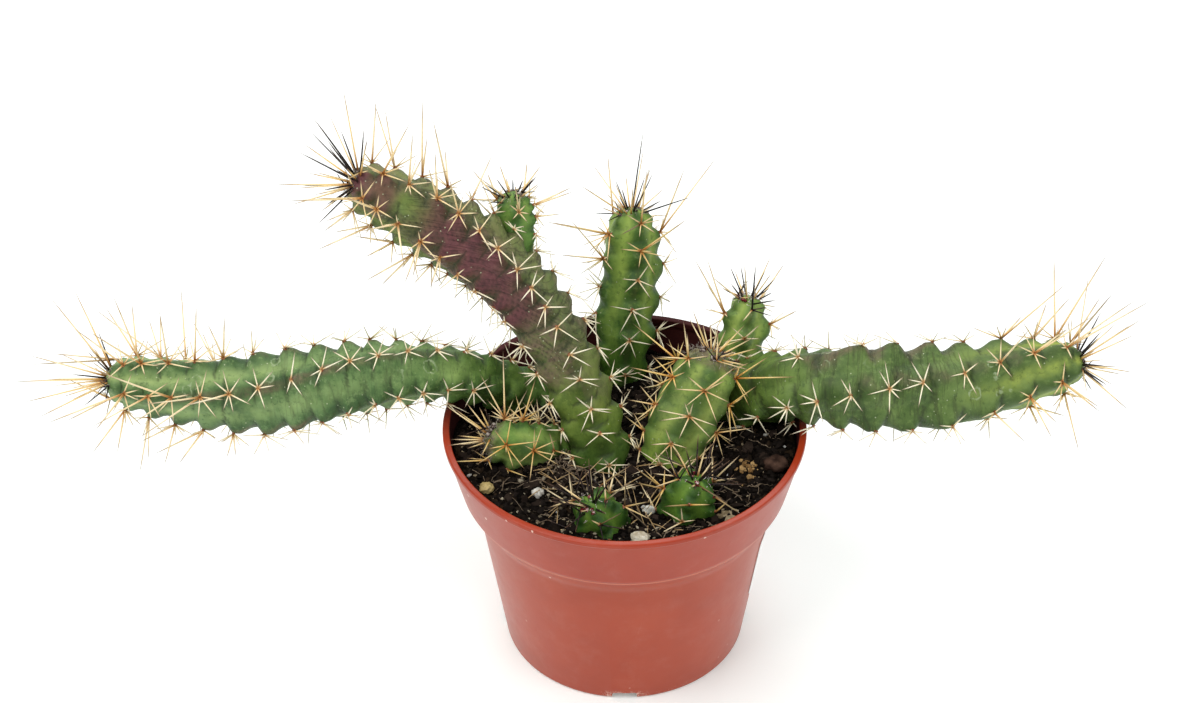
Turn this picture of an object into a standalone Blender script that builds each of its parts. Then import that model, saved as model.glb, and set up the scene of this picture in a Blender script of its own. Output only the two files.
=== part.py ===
"""A ladyfinger cactus clump in a 12 cm plastic nursery pot.

Units are metres, +Z is up.  The origin is the centre of the pot's base, which
stands on the plane Z = 0.  The plant's long stems run along X and hang over
the rim on both sides.
"""

import math
import random

import bmesh
import bpy
import numpy as np
from mathutils import Matrix, Vector, noise

MM = 0.001
GAP = 0.3 * MM               # clearance left between touching pieces

# ---- pot ---------------------------------------------------------------
SEGMENTS = 48                # facets round the pot and the soil
RIM_RADIUS = 60 * MM         # outside of the lip: a 12 cm pot
POT_HEIGHT = 87 * MM
BASE_RADIUS = 41 * MM        # outside, at the foot
NECK_HEIGHT = 58 * MM        # where the lower wall ends and the sloping step starts
BAND_HEIGHT = 66 * MM        # where the step ends in the deep rim band
NECK_RADIUS = 49.6 * MM      # outside, at the top of the lower wall
BAND_RADIUS = 54.9 * MM      # outside, at the lower edge of the band
WALL = 1.3 * MM
LIP_WIDTH = 2.4 * MM
LIP_DEPTH = 2.2 * MM
FLOOR = 1.8 * MM             # thickness of the floor
PAD_RADIUS = 24 * MM         # flat middle of the base, on the table
FOOT_WIDTH = 1.7 * MM         # ring that the pot stands on
MOAT_RISE = 2.6 * MM         # how far the floor between pad and foot is raised
DRAIN_HOLES = 8
DRAIN_RADIUS = 3.2 * MM
FOOT_NOTCHES = 4
NOTCH_WIDTH = 7.5 * MM
NOTCH_HEIGHT = 1.9 * MM

# ---- blank sticker on the pot's right side --------------------------------
LABEL_BOTTOM = 23 * MM
LABEL_TOP = 49 * MM
LABEL_FROM = math.radians(-20)   # angles round the pot from +X
LABEL_TO = math.radians(40)
LABEL_THICK = 0.25 * MM

# ---- soil --------------------------------------------------------------
SOIL_TOP = 80.5 * MM         # at the front and the sides
SOIL_BACK = 75 * MM          # the plug slumps towards the back
SLUMP_FROM = 8 * MM          # where the slump starts and how far back it runs
SLUMP_RUN = 38 * MM
SOIL_RINGS = 6
SOIL_BUMPS = 1.2 * MM
MOUND = 1.0 * MM             # the soil is a little higher round the stems

# ---- stems -------------------------------------------------------------
VALLEY = 0.86                # flank radius as a share of the rib's radius
NOTCH = 0.17                 # depth of the dip between two areoles on a rib
NOTCH_AT = 0.32              # where the dip is deepest, in steps past an areole
PEAK_AT = 0.90               # where the rib is highest
BURIED_STEPS = 1.6           # plain foot below the first areoles, in steps
TIP_SHRINK = 0.28            # how much closer the areoles get at the tip
PATH_SAMPLES = 240

STEMS = {
    # path: points on the centre line from root to tip, mm
    # radii: rib radius at even steps along the stem, mm
    # twist: angle of the first rib: at the root, plus linear and square terms
    "left_stem": dict(
        path=[(-20, 29, 66), (-36, 22, 83), (-56, 13, 97.5), (-76, 10, 100),
              (-108, 11, 93), (-142, 12, 91), (-173, 12, 97)],
        radii=[8, 9.5, 10, 13, 15, 12.5, 9], ribs=5, twist=(0.06, -0.98, -0.56), step=10.5),
    "right_stem": dict(
        path=[(21, 25, 66), (37, 18, 81), (52, 5.5, 98), (75, 1, 102),
              (103, 3, 99), (126, 8, 100), (152, 12, 104)],
        radii=[9, 12, 12.5, 15.3, 15.8, 13, 8], ribs=5, twist=(1.90, -1.34, -0.51), step=11.5),
    "leaning_stem": dict(
        path=[(-6, -14, 62), (-8, -9, 81), (-14, -2, 99), (-23, 4, 119),
              (-41, 8, 145), (-65, 9, 165), (-86, 9, 179)],
        radii=[8.5, 11, 11.5, 12, 13.5, 12.5, 8], ribs=5, twist=(0.13, 0.57, 0.50), step=9.0),
    "side_branch": dict(
        path=[(-37, 10, 138), (-35, 17, 148), (-35.5, 21, 156), (-36, 23, 164)],
        radii=[4.5, 6, 6.6, 5.6], ribs=5, twist=(-0.27, -0.36, 0.99), step=7.0),
    "upright_stem": dict(
        path=[(-3, 35, 63), (-1, 40, 80), (0, 47, 95), (2, 53, 112), (2, 60, 132)],
        radii=[7, 8.5, 11.5, 11.3, 11, 8], ribs=5, twist=(0.07, -0.34, 0.79), step=10.0),
    "right_back_stem": dict(
        path=[(37, 16, 83), (39, 27, 88), (40, 32, 97), (42, 37, 112)],
        radii=[5, 8, 9.5, 7], ribs=5, twist=(-0.36, 0.10, 0.44), step=9.5),
    "front_right_stem": dict(
        path=[(13, -14, 62), (15, -9, 77), (18, -4, 87), (24.5, 3, 99), (30, 9, 110.5)],
        radii=[8, 10, 12.8, 12, 10], ribs=6, twist=(-0.36, 0.37, 0.09), step=9.5),
    "lying_stem": dict(
        path=[(-19, 3, 71), (-25, -4, 80.5), (-35, -10, 86), (-46, -9.5, 89.5)],
        radii=[7, 8, 9, 8], ribs=5, twist=(-1.54, 0.0, 0.0), step=7.0),
    "left_pup": dict(
        path=[(-4, -39, 68), (-7, -41, 81), (-11, -45, 90.5)],
        radii=[7, 9, 7.5], ribs=5, twist=(0.3, 0.0, 0.0), step=7.0),
    "right_pup": dict(
        path=[(19, -35, 68), (20, -35, 81), (24, -36, 94)],
        radii=[7, 9, 7.5], ribs=5, twist=(-0.2, 0.0, 0.0), step=7.0),
}

# side shoots, and the stem that each grows out of
BRANCHES = {"side_branch": "leaning_stem", "lying_stem": "leaning_stem", "right_back_stem": "right_stem"}

# ---- crowns: wool and young spines at the growing tips -------------------
WOOL_RADIUS = 2.6 * MM
WOOL_FLATTEN = 0.7
SPINE_TIP_SHARE = 0.12       # width of a spine's end as a share of its foot
CROWNS = {
    # stem: (number of spines, shortest, longest, seed)
    "left_stem": (20, 16 * MM, 27 * MM, 1),
    "right_stem": (20, 14 * MM, 25 * MM, 2),
    "leaning_stem": (24, 14 * MM, 27 * MM, 3),
    "side_branch": (14, 8 * MM, 14 * MM, 4),
    "upright_stem": (18, 12 * MM, 27 * MM, 5),
    "right_back_stem": (16, 8 * MM, 14 * MM, 6),
    "left_pup": (12, 7 * MM, 13 * MM, 7),
    "right_pup": (12, 7 * MM, 13 * MM, 8),
}

# ---- loose lumps on the soil ------------------------------------------------
LUMPS = {
    # name: (centre in mm, half sizes in mm, seed, colour)
    "yellow_pebble": ((-45, -27, 82.0), (2.2, 2.1, 1.8), 11, (0.50, 0.40, 0.20)),
    "white_stone": ((5, -51, 81.8), (3.6, 2.2, 1.9), 12, (0.72, 0.68, 0.56)),
    "bark_chunk": ((50, -15, 82.0), (4.0, 3.2, 2.2), 13, (0.10, 0.06, 0.04)),
    "left_perlite": ((-28, -29.5, 82.0), (2.1, 1.7, 1.6), 14, (0.80, 0.80, 0.78)),
    "front_perlite": ((8, -38, 82.0), (1.8, 1.5, 1.4), 15, (0.76, 0.78, 0.74)),
}

# ---- colours: base colour, roughness -----------------------------------------
TERRACOTTA_PLASTIC = ((0.42, 0.10, 0.06), 0.42)
WHITE_PAPER = ((0.85, 0.85, 0.84), 0.60)
POTTING_MIX = ((0.035, 0.025, 0.018), 0.95)
GREEN_SKIN = ((0.10, 0.20, 0.05), 0.55)
BRIGHT_GREEN_SKIN = ((0.14, 0.26, 0.05), 0.55)
PURPLE_SKIN = ((0.14, 0.08, 0.07), 0.60)
DARK_SPINES = ((0.05, 0.03, 0.03), 0.50)
STONE_ROUGHNESS = 0.9
SKIN_OF = {"leaning_stem": PURPLE_SKIN, "left_pup": BRIGHT_GREEN_SKIN, "right_pup": BRIGHT_GREEN_SKIN,
           "side_branch": BRIGHT_GREEN_SKIN, "front_right_stem": BRIGHT_GREEN_SKIN}


# ---- scene helpers -------------------------------------------------------------
def clear_scene():
    for thing in list(bpy.data.objects):
        bpy.data.objects.remove(thing, do_unlink=True)


def new_collection(name):
    group = bpy.data.collections.new(name)
    bpy.context.scene.collection.children.link(group)
    return group


def new_material(name, colour, roughness):
    material = bpy.data.materials.new(name)
    material.use_nodes = True
    shader = material.node_tree.nodes["Principled BSDF"]
    shader.inputs["Base Color"].default_value = (*colour, 1.0)
    shader.inputs["Roughness"].default_value = roughness
    shader.inputs["Metallic"].default_value = 0.0
    return material


def add_object(name, bm, group, finish=None):
    """Turns a bmesh into a smooth-shaded object in the group."""
    bmesh.ops.recalc_face_normals(bm, faces=bm.faces)
    mesh = bpy.data.meshes.new(name)
    bm.to_mesh(mesh)
    bm.free()
    mesh.shade_smooth()
    mesh.set_sharp_from_angle(angle=math.radians(40))
    thing = bpy.data.objects.new(name, mesh)
    group.objects.link(thing)
    if finish:
        mesh.materials.append(new_material(name, *finish))
    return thing


def as_cutter(thing):
    thing.display_type = "WIRE"
    thing.hide_render = True
    return thing


def cut(thing, cutter):
    boolean = thing.modifiers.new("cut_" + cutter.name, "BOOLEAN")
    boolean.operation = "DIFFERENCE"
    boolean.solver = "EXACT"
    boolean.object = cutter


def smooth_step(x):
    x = np.clip(x, 0.0, 1.0)
    return x * x * (3 - 2 * x)


# ---- turned shapes -----------------------------------------------------------
def turned(name, profile, group, finish):
    """A profile of (radius, height) points, turned once round Z."""
    bm = bmesh.new()
    verts = [bm.verts.new((radius, 0.0, height)) for radius, height in profile]
    for first, second in zip(verts, verts[1:]):
        bm.edges.new((first, second))
    thing = add_object(name, bm, group, finish)
    screw = thing.modifiers.new("turn", "SCREW")
    screw.angle = math.tau
    screw.steps = SEGMENTS
    screw.render_steps = SEGMENTS
    screw.use_merge_vertices = True
    screw.merge_threshold = 0.01 * MM
    screw.use_smooth_shade = True
    return thing


def wall_radius(height):
    """Outside radius of the pot's lower wall at a height."""
    return BASE_RADIUS + (NECK_RADIUS - BASE_RADIUS) * height / NECK_HEIGHT


def band_radius(height):
    """Outside radius of the rim band at a height."""
    return BAND_RADIUS + (RIM_RADIUS - BAND_RADIUS) * (height - BAND_HEIGHT) / (POT_HEIGHT - BAND_HEIGHT)


def inner_profile(gap):
    """The pot's inside from the axis up to under the lip, moved inwards by a gap."""
    floor = FLOOR + gap
    raised = MOAT_RISE + FLOOR + gap
    return [
        (0.0, floor),
        (PAD_RADIUS - 1.8 * MM - gap, floor),
        (PAD_RADIUS - 0.8 * MM - gap, raised),
        (wall_radius(raised) - WALL - gap, raised),
        (NECK_RADIUS - WALL - gap, NECK_HEIGHT),
        (BAND_RADIUS - WALL - gap, BAND_HEIGHT),
    ]


def make_pot(group, cutters):
    lip_inside = RIM_RADIUS - LIP_WIDTH
    lip_under = POT_HEIGHT - LIP_DEPTH
    edge = 0.4 * MM
    foot_inside = BASE_RADIUS - FOOT_WIDTH
    profile = inner_profile(0.0) + [
        (band_radius(lip_under) - WALL, lip_under - (LIP_WIDTH - WALL)),
        (lip_inside, lip_under),
        (lip_inside, POT_HEIGHT - edge),
        (lip_inside + edge, POT_HEIGHT),
        (RIM_RADIUS - edge, POT_HEIGHT),
        (RIM_RADIUS, POT_HEIGHT - edge),
        (BAND_RADIUS, BAND_HEIGHT),
        (NECK_RADIUS, NECK_HEIGHT),
        (BASE_RADIUS, edge),
        (BASE_RADIUS - edge, 0.0),
        (foot_inside, 0.0),
        (foot_inside, MOAT_RISE),
        (PAD_RADIUS + 1.0 * MM, MOAT_RISE),
        (PAD_RADIUS, 0.0),
        (0.0, 0.0),
    ]
    pot = turned("pot", profile, group, TERRACOTTA_PLASTIC)
    for i in range(DRAIN_HOLES):
        angle = math.tau * (i + 0.5) / DRAIN_HOLES
        cut(pot, drain_cutter(f"drain_{i + 1}", angle, cutters))
    for i in range(FOOT_NOTCHES):
        angle = math.tau * i / FOOT_NOTCHES
        cut(pot, notch_cutter(f"foot_notch_{i + 1}", angle, cutters))
    return pot


def drain_cutter(name, angle, cutters):
    middle = (PAD_RADIUS + BASE_RADIUS) / 2
    bm = bmesh.new()
    bmesh.ops.create_cone(bm, cap_ends=True, segments=12, radius1=DRAIN_RADIUS, radius2=DRAIN_RADIUS,
                          depth=4 * FLOOR)
    thing = add_object(name, bm, cutters)
    thing.location = (middle * math.cos(angle), middle * math.sin(angle), MOAT_RISE + FLOOR / 2)
    return as_cutter(thing)


def notch_cutter(name, angle, cutters):
    depth = 5 * MM
    bm = bmesh.new()
    bmesh.ops.create_cube(bm, size=1.0)
    bmesh.ops.scale(bm, vec=(depth, NOTCH_WIDTH, 2 * NOTCH_HEIGHT), verts=bm.verts)
    thing = add_object(name, bm, cutters)
    thing.location = (BASE_RADIUS * math.cos(angle), BASE_RADIUS * math.sin(angle), 0.0)
    thing.rotation_euler = (0.0, 0.0, angle)
    return as_cutter(thing)


def make_label(group):
    """The sticker follows the round wall, a gap off it."""
    bm = bmesh.new()
    bmesh.ops.create_grid(bm, x_segments=8, y_segments=1, size=0.5)
    for vert in bm.verts:
        across = vert.co.x + 0.5
        up = vert.co.y + 0.5
        angle = LABEL_FROM + across * (LABEL_TO - LABEL_FROM)
        height = LABEL_BOTTOM + up * (LABEL_TOP - LABEL_BOTTOM)
        radius = wall_radius(height) + 1.5 * GAP
        vert.co = (radius * math.cos(angle), radius * math.sin(angle), height)
    label = add_object("pot_label", bm, group, WHITE_PAPER)
    solidify = label.modifiers.new("paper", "SOLIDIFY")
    solidify.thickness = LABEL_THICK
    solidify.offset = 1.0
    return label


# ---- stems -------------------------------------------------------------------
def spline(points, count):
    """Evenly spaced points on the natural cubic curve through the given ones, and its length."""
    knots = np.array(points, float)
    gaps = np.linalg.norm(np.diff(knots, axis=0), axis=1)
    start = np.concatenate([[0.0], np.cumsum(gaps)])
    size = len(knots)
    matrix = np.eye(size)
    right = np.zeros_like(knots)
    for i in range(1, size - 1):
        matrix[i, i - 1:i + 2] = gaps[i - 1], 2 * (gaps[i - 1] + gaps[i]), gaps[i]
        right[i] = 6 * ((knots[i + 1] - knots[i]) / gaps[i] - (knots[i] - knots[i - 1]) / gaps[i - 1])
    bend = np.linalg.solve(matrix, right)
    where = np.linspace(0.0, start[-1], 6 * count)
    i = np.clip(np.searchsorted(start, where, side="right") - 1, 0, size - 2)
    width = gaps[i][:, None]
    after = (where - start[i])[:, None]
    before = width - after
    curve = (bend[i] * before ** 3 + bend[i + 1] * after ** 3) / (6 * width)
    curve += (knots[i] / width - bend[i] * width / 6) * before
    curve += (knots[i + 1] / width - bend[i + 1] * width / 6) * after
    run = np.concatenate([[0.0], np.cumsum(np.linalg.norm(np.diff(curve, axis=0), axis=1))])
    even = np.linspace(0.0, run[-1], count)
    return np.stack([np.interp(even, run, curve[:, k]) for k in range(3)], axis=1), run[-1]


class Stem:
    """Centre line, frames, ribs and areole steps of one stem."""

    def __init__(self, path, radii, ribs, twist, step):
        self.line, self.length = spline(np.array(path) * MM, PATH_SAMPLES)
        self.radii = np.array(radii) * MM
        self.ribs = ribs
        self.twist = twist
        self.step = step * MM
        self.ahead = np.gradient(self.line, axis=0)
        self.ahead /= np.linalg.norm(self.ahead, axis=1)[:, None]
        self.side = self.carried_normals()

    def carried_normals(self):
        """A normal carried along the centre line without turning about it."""
        first = self.ahead[0]
        guess = np.array([0.0, 0.0, 1.0]) if abs(first[2]) < 0.75 else np.array([0.0, -1.0, 0.0])
        normals = [guess]
        for ahead in self.ahead:
            normal = normals[-1] - ahead * (normals[-1] @ ahead)
            normals.append(normal / np.linalg.norm(normal))
        return np.array(normals[1:])

    def frame(self, along):
        """Centre, direction and two normals at a distance from the root."""
        at = np.clip(along / self.length, 0.0, 1.0) * (PATH_SAMPLES - 1)
        low = min(int(at), PATH_SAMPLES - 2)
        share = at - low
        centre = self.line[low] * (1 - share) + self.line[low + 1] * share
        ahead = self.ahead[low] * (1 - share) + self.ahead[low + 1] * share
        ahead /= np.linalg.norm(ahead)
        side = self.side[low] - ahead * (self.side[low] @ ahead)
        side /= np.linalg.norm(side)
        centre = centre + ahead * (along - np.clip(along, 0.0, self.length))
        return centre, ahead, side, np.cross(ahead, side)

    def rib_radius(self, along):
        """Radius of the ribs, rounded off towards the tip."""
        share = np.clip(along / self.length, 0.0, 1.0)
        radius = np.interp(share, np.linspace(0, 1, len(self.radii)), self.radii)
        left = np.clip((self.length - along) / (1.1 * radius), 0.0, 1.0)
        return radius * math.sqrt(1 - (1 - left) ** 2)

    def first_rib(self, along):
        share = np.clip(along / self.length, 0.0, 1.0)
        return self.twist[0] + self.twist[1] * share + self.twist[2] * share ** 2

    def step_at(self, along):
        return self.step * (1 - TIP_SHRINK * smooth_step((along / self.length - 0.7) / 0.3))

    def rib_shift(self, rib):
        """Neighbouring ribs carry their areoles two fifths of a step apart."""
        return ((2 * rib) % self.ribs) / self.ribs - 0.4

    def rings(self):
        """(distance, dip) of every ring: one on the peaks and one in the dips of each step."""
        blunt = self.length - 0.75 * self.rib_radius(0.8 * self.length)
        rings = [(0.0, 0.0)]
        along = BURIED_STEPS * self.step
        while along + self.step_at(along) < blunt:
            step = self.step_at(along)
            rings.append((along + NOTCH_AT * step, NOTCH))
            rings.append((along + PEAK_AT * step, 0.0))
            along += step
        left = self.length - rings[-1][0]
        rings += [(self.length - left * share, 0.0) for share in (0.62, 0.30, 0.10)]
        return rings


def stem_mesh(stem, grow=0.0):
    """Loft of ribbed rings along the stem, closed at the root and at the tip."""
    bm = bmesh.new()
    corners = 4 * stem.ribs
    loops = []
    for along, dip in stem.rings():
        fade = float(np.clip(min(along, stem.length - along) / stem.step, 0.0, 1.0))
        loop = []
        for corner in range(corners):
            rib, part = divmod(corner, 4)
            mix = part / 4
            shift = stem.rib_shift(rib) * (1 - mix) + stem.rib_shift((rib + 1) % stem.ribs) * mix
            here = along + shift * stem.step_at(along) * fade
            centre, ahead, side, other = stem.frame(here if along > 0 else -grow)
            angle = stem.first_rib(here) + math.tau * corner / corners
            crest = (1 + math.cos(math.tau * mix)) / 2
            radius = stem.rib_radius(here) * (VALLEY + (1 - VALLEY) * crest) * (1 - dip * crest)
            point = centre + (radius + grow) * (math.cos(angle) * side + math.sin(angle) * other)
            loop.append(bm.verts.new(point))
        loops.append(loop)
    for lower, upper in zip(loops, loops[1:]):
        for i in range(corners):
            j = (i + 1) % corners
            bm.faces.new((lower[i], lower[j], upper[j]))
            bm.faces.new((lower[i], upper[j], upper[i]))
    close_with_fan(bm, loops[0], stem.frame(-grow)[0])
    close_with_fan(bm, loops[-1], stem.frame(stem.length + grow)[0])
    return bm


def close_with_fan(bm, loop, middle):
    tip = bm.verts.new(middle)
    for i, vert in enumerate(loop):
        bm.faces.new((vert, loop[(i + 1) % len(loop)], tip))


def make_crown(name, stem, spines, shortest, longest, seed, group):
    """A flat pad of wool on the tip, with spines drawn out of its facets."""
    rng = random.Random(seed)
    tip, ahead = stem.frame(stem.length)[:2]
    turn = Vector((0, 0, 1)).rotation_difference(Vector(ahead)).to_matrix().to_4x4()
    centre = Vector(tip) + Vector(ahead) * (WOOL_RADIUS * WOOL_FLATTEN + GAP)
    bm = bmesh.new()
    bmesh.ops.create_icosphere(bm, subdivisions=2, radius=WOOL_RADIUS)
    bmesh.ops.scale(bm, vec=(1, 1, WOOL_FLATTEN), verts=bm.verts)
    outer = [face for face in bm.faces if face.calc_center_median().z > 0.0]
    chosen = rng.sample(outer, min(spines, len(outer)))
    drawn = bmesh.ops.extrude_discrete_faces(bm, faces=chosen)["faces"]
    for face in drawn:
        middle = face.calc_center_median()
        out = middle.normalized()
        length = rng.uniform(shortest, longest)
        for vert in face.verts:
            vert.co = middle + out * length + (vert.co - middle) * SPINE_TIP_SHARE
    bmesh.ops.transform(bm, matrix=Matrix.Translation(centre) @ turn, verts=bm.verts)
    return add_object(name, bm, group, DARK_SPINES)


def make_stems(group, cutters):
    """All stems, and the pocket cutters that let them into the soil."""
    pockets = []
    for name, shape in STEMS.items():
        stem = Stem(**shape)
        thing = add_object(name, stem_mesh(stem), group, SKIN_OF.get(name, GREEN_SKIN))
        if name in BRANCHES:
            parent = Stem(**STEMS[BRANCHES[name]])
            cut(thing, as_cutter(add_object(name + "_clearance", stem_mesh(parent, GAP), cutters)))
        pockets.append(as_cutter(add_object(name + "_pocket", stem_mesh(stem, GAP), cutters)))
        if name in CROWNS:
            make_crown(name + "_crown", stem, *CROWNS[name], group)
    return pockets


# ---- soil and what lies on it --------------------------------------------------
def soil_level(y):
    """Height of the smoothed surface: lower at the back of the pot."""
    return SOIL_TOP - (SOIL_TOP - SOIL_BACK) * float(smooth_step((y - SLUMP_FROM) / SLUMP_RUN))


def soil_height(x, y):
    """The surface is a low mound with crumbs."""
    crumbs = noise.noise(Vector((x, y, 0.0)) / (9 * MM)) + 0.5 * noise.noise(Vector((x, y, 9.0 * MM)) / (4 * MM))
    return soil_level(y) + SOIL_BUMPS * crumbs + MOUND * (1 - min(1.0, math.hypot(x, y) / NECK_RADIUS) ** 2)


def soil_edge(i):
    """Where the surface meets the sloping wall, for one facet corner."""
    x, y, height = on_circle(BAND_RADIUS, i, 0.0)
    height = soil_level(y) - 1.0 * MM
    return band_radius(height) - WALL - GAP, height


def make_soil(group, pockets):
    """A plug of potting mix that fills the pot up to below the rim."""
    profile = inner_profile(GAP)[1:]
    bm = bmesh.new()
    loops = []
    for radius, height in profile:
        loops.append([bm.verts.new(on_circle(radius, i, height)) for i in range(SEGMENTS)])
    for ring in range(SOIL_RINGS):
        loop = []
        for i in range(SEGMENTS):
            edge, height = soil_edge(i)
            x, y, flat = on_circle(edge * (1 - ring / SOIL_RINGS), i, 0.0)
            loop.append(bm.verts.new((x, y, soil_height(x, y) if ring else height)))
        loops.append(loop)
    for lower, upper in zip(loops, loops[1:]):
        for i in range(SEGMENTS):
            j = (i + 1) % SEGMENTS
            bm.faces.new((lower[i], lower[j], upper[j], upper[i]))
    close_with_fan(bm, loops[0], (0.0, 0.0, profile[0][1]))
    close_with_fan(bm, loops[-1], (0.0, 0.0, soil_height(0.0, 0.0)))
    soil = add_object("soil", bm, group, POTTING_MIX)
    for pocket in pockets:
        cut(soil, pocket)
    return soil


def on_circle(radius, i, height):
    angle = math.tau * i / SEGMENTS
    return radius * math.cos(angle), radius * math.sin(angle), height


def lump_mesh(centre, half_sizes, seed, grow=0.0):
    """A rounded, slightly uneven stone."""
    bm = bmesh.new()
    bmesh.ops.create_icosphere(bm, subdivisions=2, radius=1.0)
    for vert in bm.verts:
        out = vert.co.normalized()
        swell = 1 + 0.18 * noise.noise(out * 1.3 + Vector((seed, 0, 0)))
        vert.co = Vector([part * swell * (half * MM + grow) for part, half in zip(out, half_sizes)])
    bmesh.ops.translate(bm, vec=Vector(centre) * MM, verts=bm.verts)
    return bm


def make_lumps(group, cutters):
    pockets = []
    for name, (centre, half_sizes, seed, colour) in LUMPS.items():
        add_object(name, lump_mesh(centre, half_sizes, seed), group, (colour, STONE_ROUGHNESS))
        grown = lump_mesh(centre, half_sizes, seed, 1.5 * GAP)
        pockets.append(as_cutter(add_object(name + "_pocket", grown, cutters)))
    return pockets


def main():
    clear_scene()
    plant = new_collection("ladyfinger_cactus")
    cutters = new_collection("cutters")
    make_pot(plant, cutters)
    make_label(plant)
    pockets = make_stems(plant, cutters) + make_lumps(plant, cutters)
    make_soil(plant, pockets)


main()
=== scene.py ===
"""Looks of a ladyfinger cactus clump in a 12 cm plastic nursery pot.

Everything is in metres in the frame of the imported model: +Z up, the origin at
the middle of the pot's base, the long stems along X.
"""

import math
import random

import bmesh
import bpy
import numpy as np
from mathutils import Matrix, Vector


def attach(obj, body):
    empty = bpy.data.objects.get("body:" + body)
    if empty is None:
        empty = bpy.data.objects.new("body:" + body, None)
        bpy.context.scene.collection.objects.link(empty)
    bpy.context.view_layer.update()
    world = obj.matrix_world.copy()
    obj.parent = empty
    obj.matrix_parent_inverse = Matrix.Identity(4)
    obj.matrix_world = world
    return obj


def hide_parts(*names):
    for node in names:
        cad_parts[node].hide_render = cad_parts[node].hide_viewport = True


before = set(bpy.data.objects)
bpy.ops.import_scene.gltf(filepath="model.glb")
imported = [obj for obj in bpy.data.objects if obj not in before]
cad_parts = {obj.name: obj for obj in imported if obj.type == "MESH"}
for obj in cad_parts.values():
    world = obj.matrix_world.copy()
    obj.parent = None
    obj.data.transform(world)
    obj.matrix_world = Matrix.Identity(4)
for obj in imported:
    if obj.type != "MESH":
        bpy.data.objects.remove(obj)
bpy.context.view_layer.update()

MM = 0.001

# ---- pot and soil, as in the CAD model ----
RIM_RADIUS = 60.4 * MM
POT_HEIGHT = 87 * MM
BASE_RADIUS = 41.2 * MM
NECK_HEIGHT = 58 * MM
BAND_HEIGHT = 66 * MM
SEAM_HEIGHT = 64.6 * MM      # moulding line under the band
NECK_RADIUS = 49.9 * MM
BAND_RADIUS = 55.1 * MM
WALL = 1.3 * MM
LIP_WIDTH = 2.4 * MM
LIP_DEPTH = 2.2 * MM
LIP_EDGE = 85.4 * MM         # where the lip's outside starts to draw in
LIP_ROOT = 84.9 * MM         # where it meets the band
FLOOR = 1.8 * MM
PAD_RADIUS = 24 * MM
MOAT_RISE = 2.6 * MM
DRAIN_HOLES = 8
DRAIN_RADIUS = 3.2 * MM
FOOT_NOTCHES = 4
NOTCH_WIDTH = 8.4 * MM
NOTCH_HEIGHT = 2.8 * MM
NOTCH_DEPTH = 5 * MM
NOTCH_ROUNDING = 0.9 * MM
POT_SIDES = 192
LABEL_BOTTOM = 23 * MM
LABEL_TOP = 49 * MM
LABEL_FROM = math.radians(-20)
LABEL_TO = math.radians(40)
LABEL_RADIUS = 46.5 * MM     # the pot's, halfway up the label
LABEL_CORNER = 2.5 * MM
LABEL_BACK = 0.08 * MM       # distances of its two faces from the pot
LABEL_FACE = 0.26 * MM
LABEL_LIFT = 0.03 * MM       # of its edges, fading out over the next length
LABEL_LIFT_RUN = 1.2 * MM
SHARP = math.radians(35)     # edges sharper than this stay sharp
SOIL_TOP = 80.5 * MM
SOIL_BACK = 75 * MM
SLUMP_FROM = 8 * MM
SLUMP_RUN = 38 * MM
MOUND = 1.0 * MM
SOIL_EDGE = 53 * MM
SOIL_RINGS = 150
SOIL_SIDES = 420
GAP = 0.3 * MM
# distances from the pot's axis that say where litter lies and where a spine may end
LITTER_REACH = 54.5 * MM
THREAD_REACH = 55 * MM
INSIDE_RIM = 56.5 * MM
SOIL_REACH = 57 * MM
OUTSIDE_POT = 58 * MM
OUTSIDE_RIM = 61 * MM
LOWEST_SPINE = 60 * MM       # height of the lowest spine end inside the pot

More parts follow.
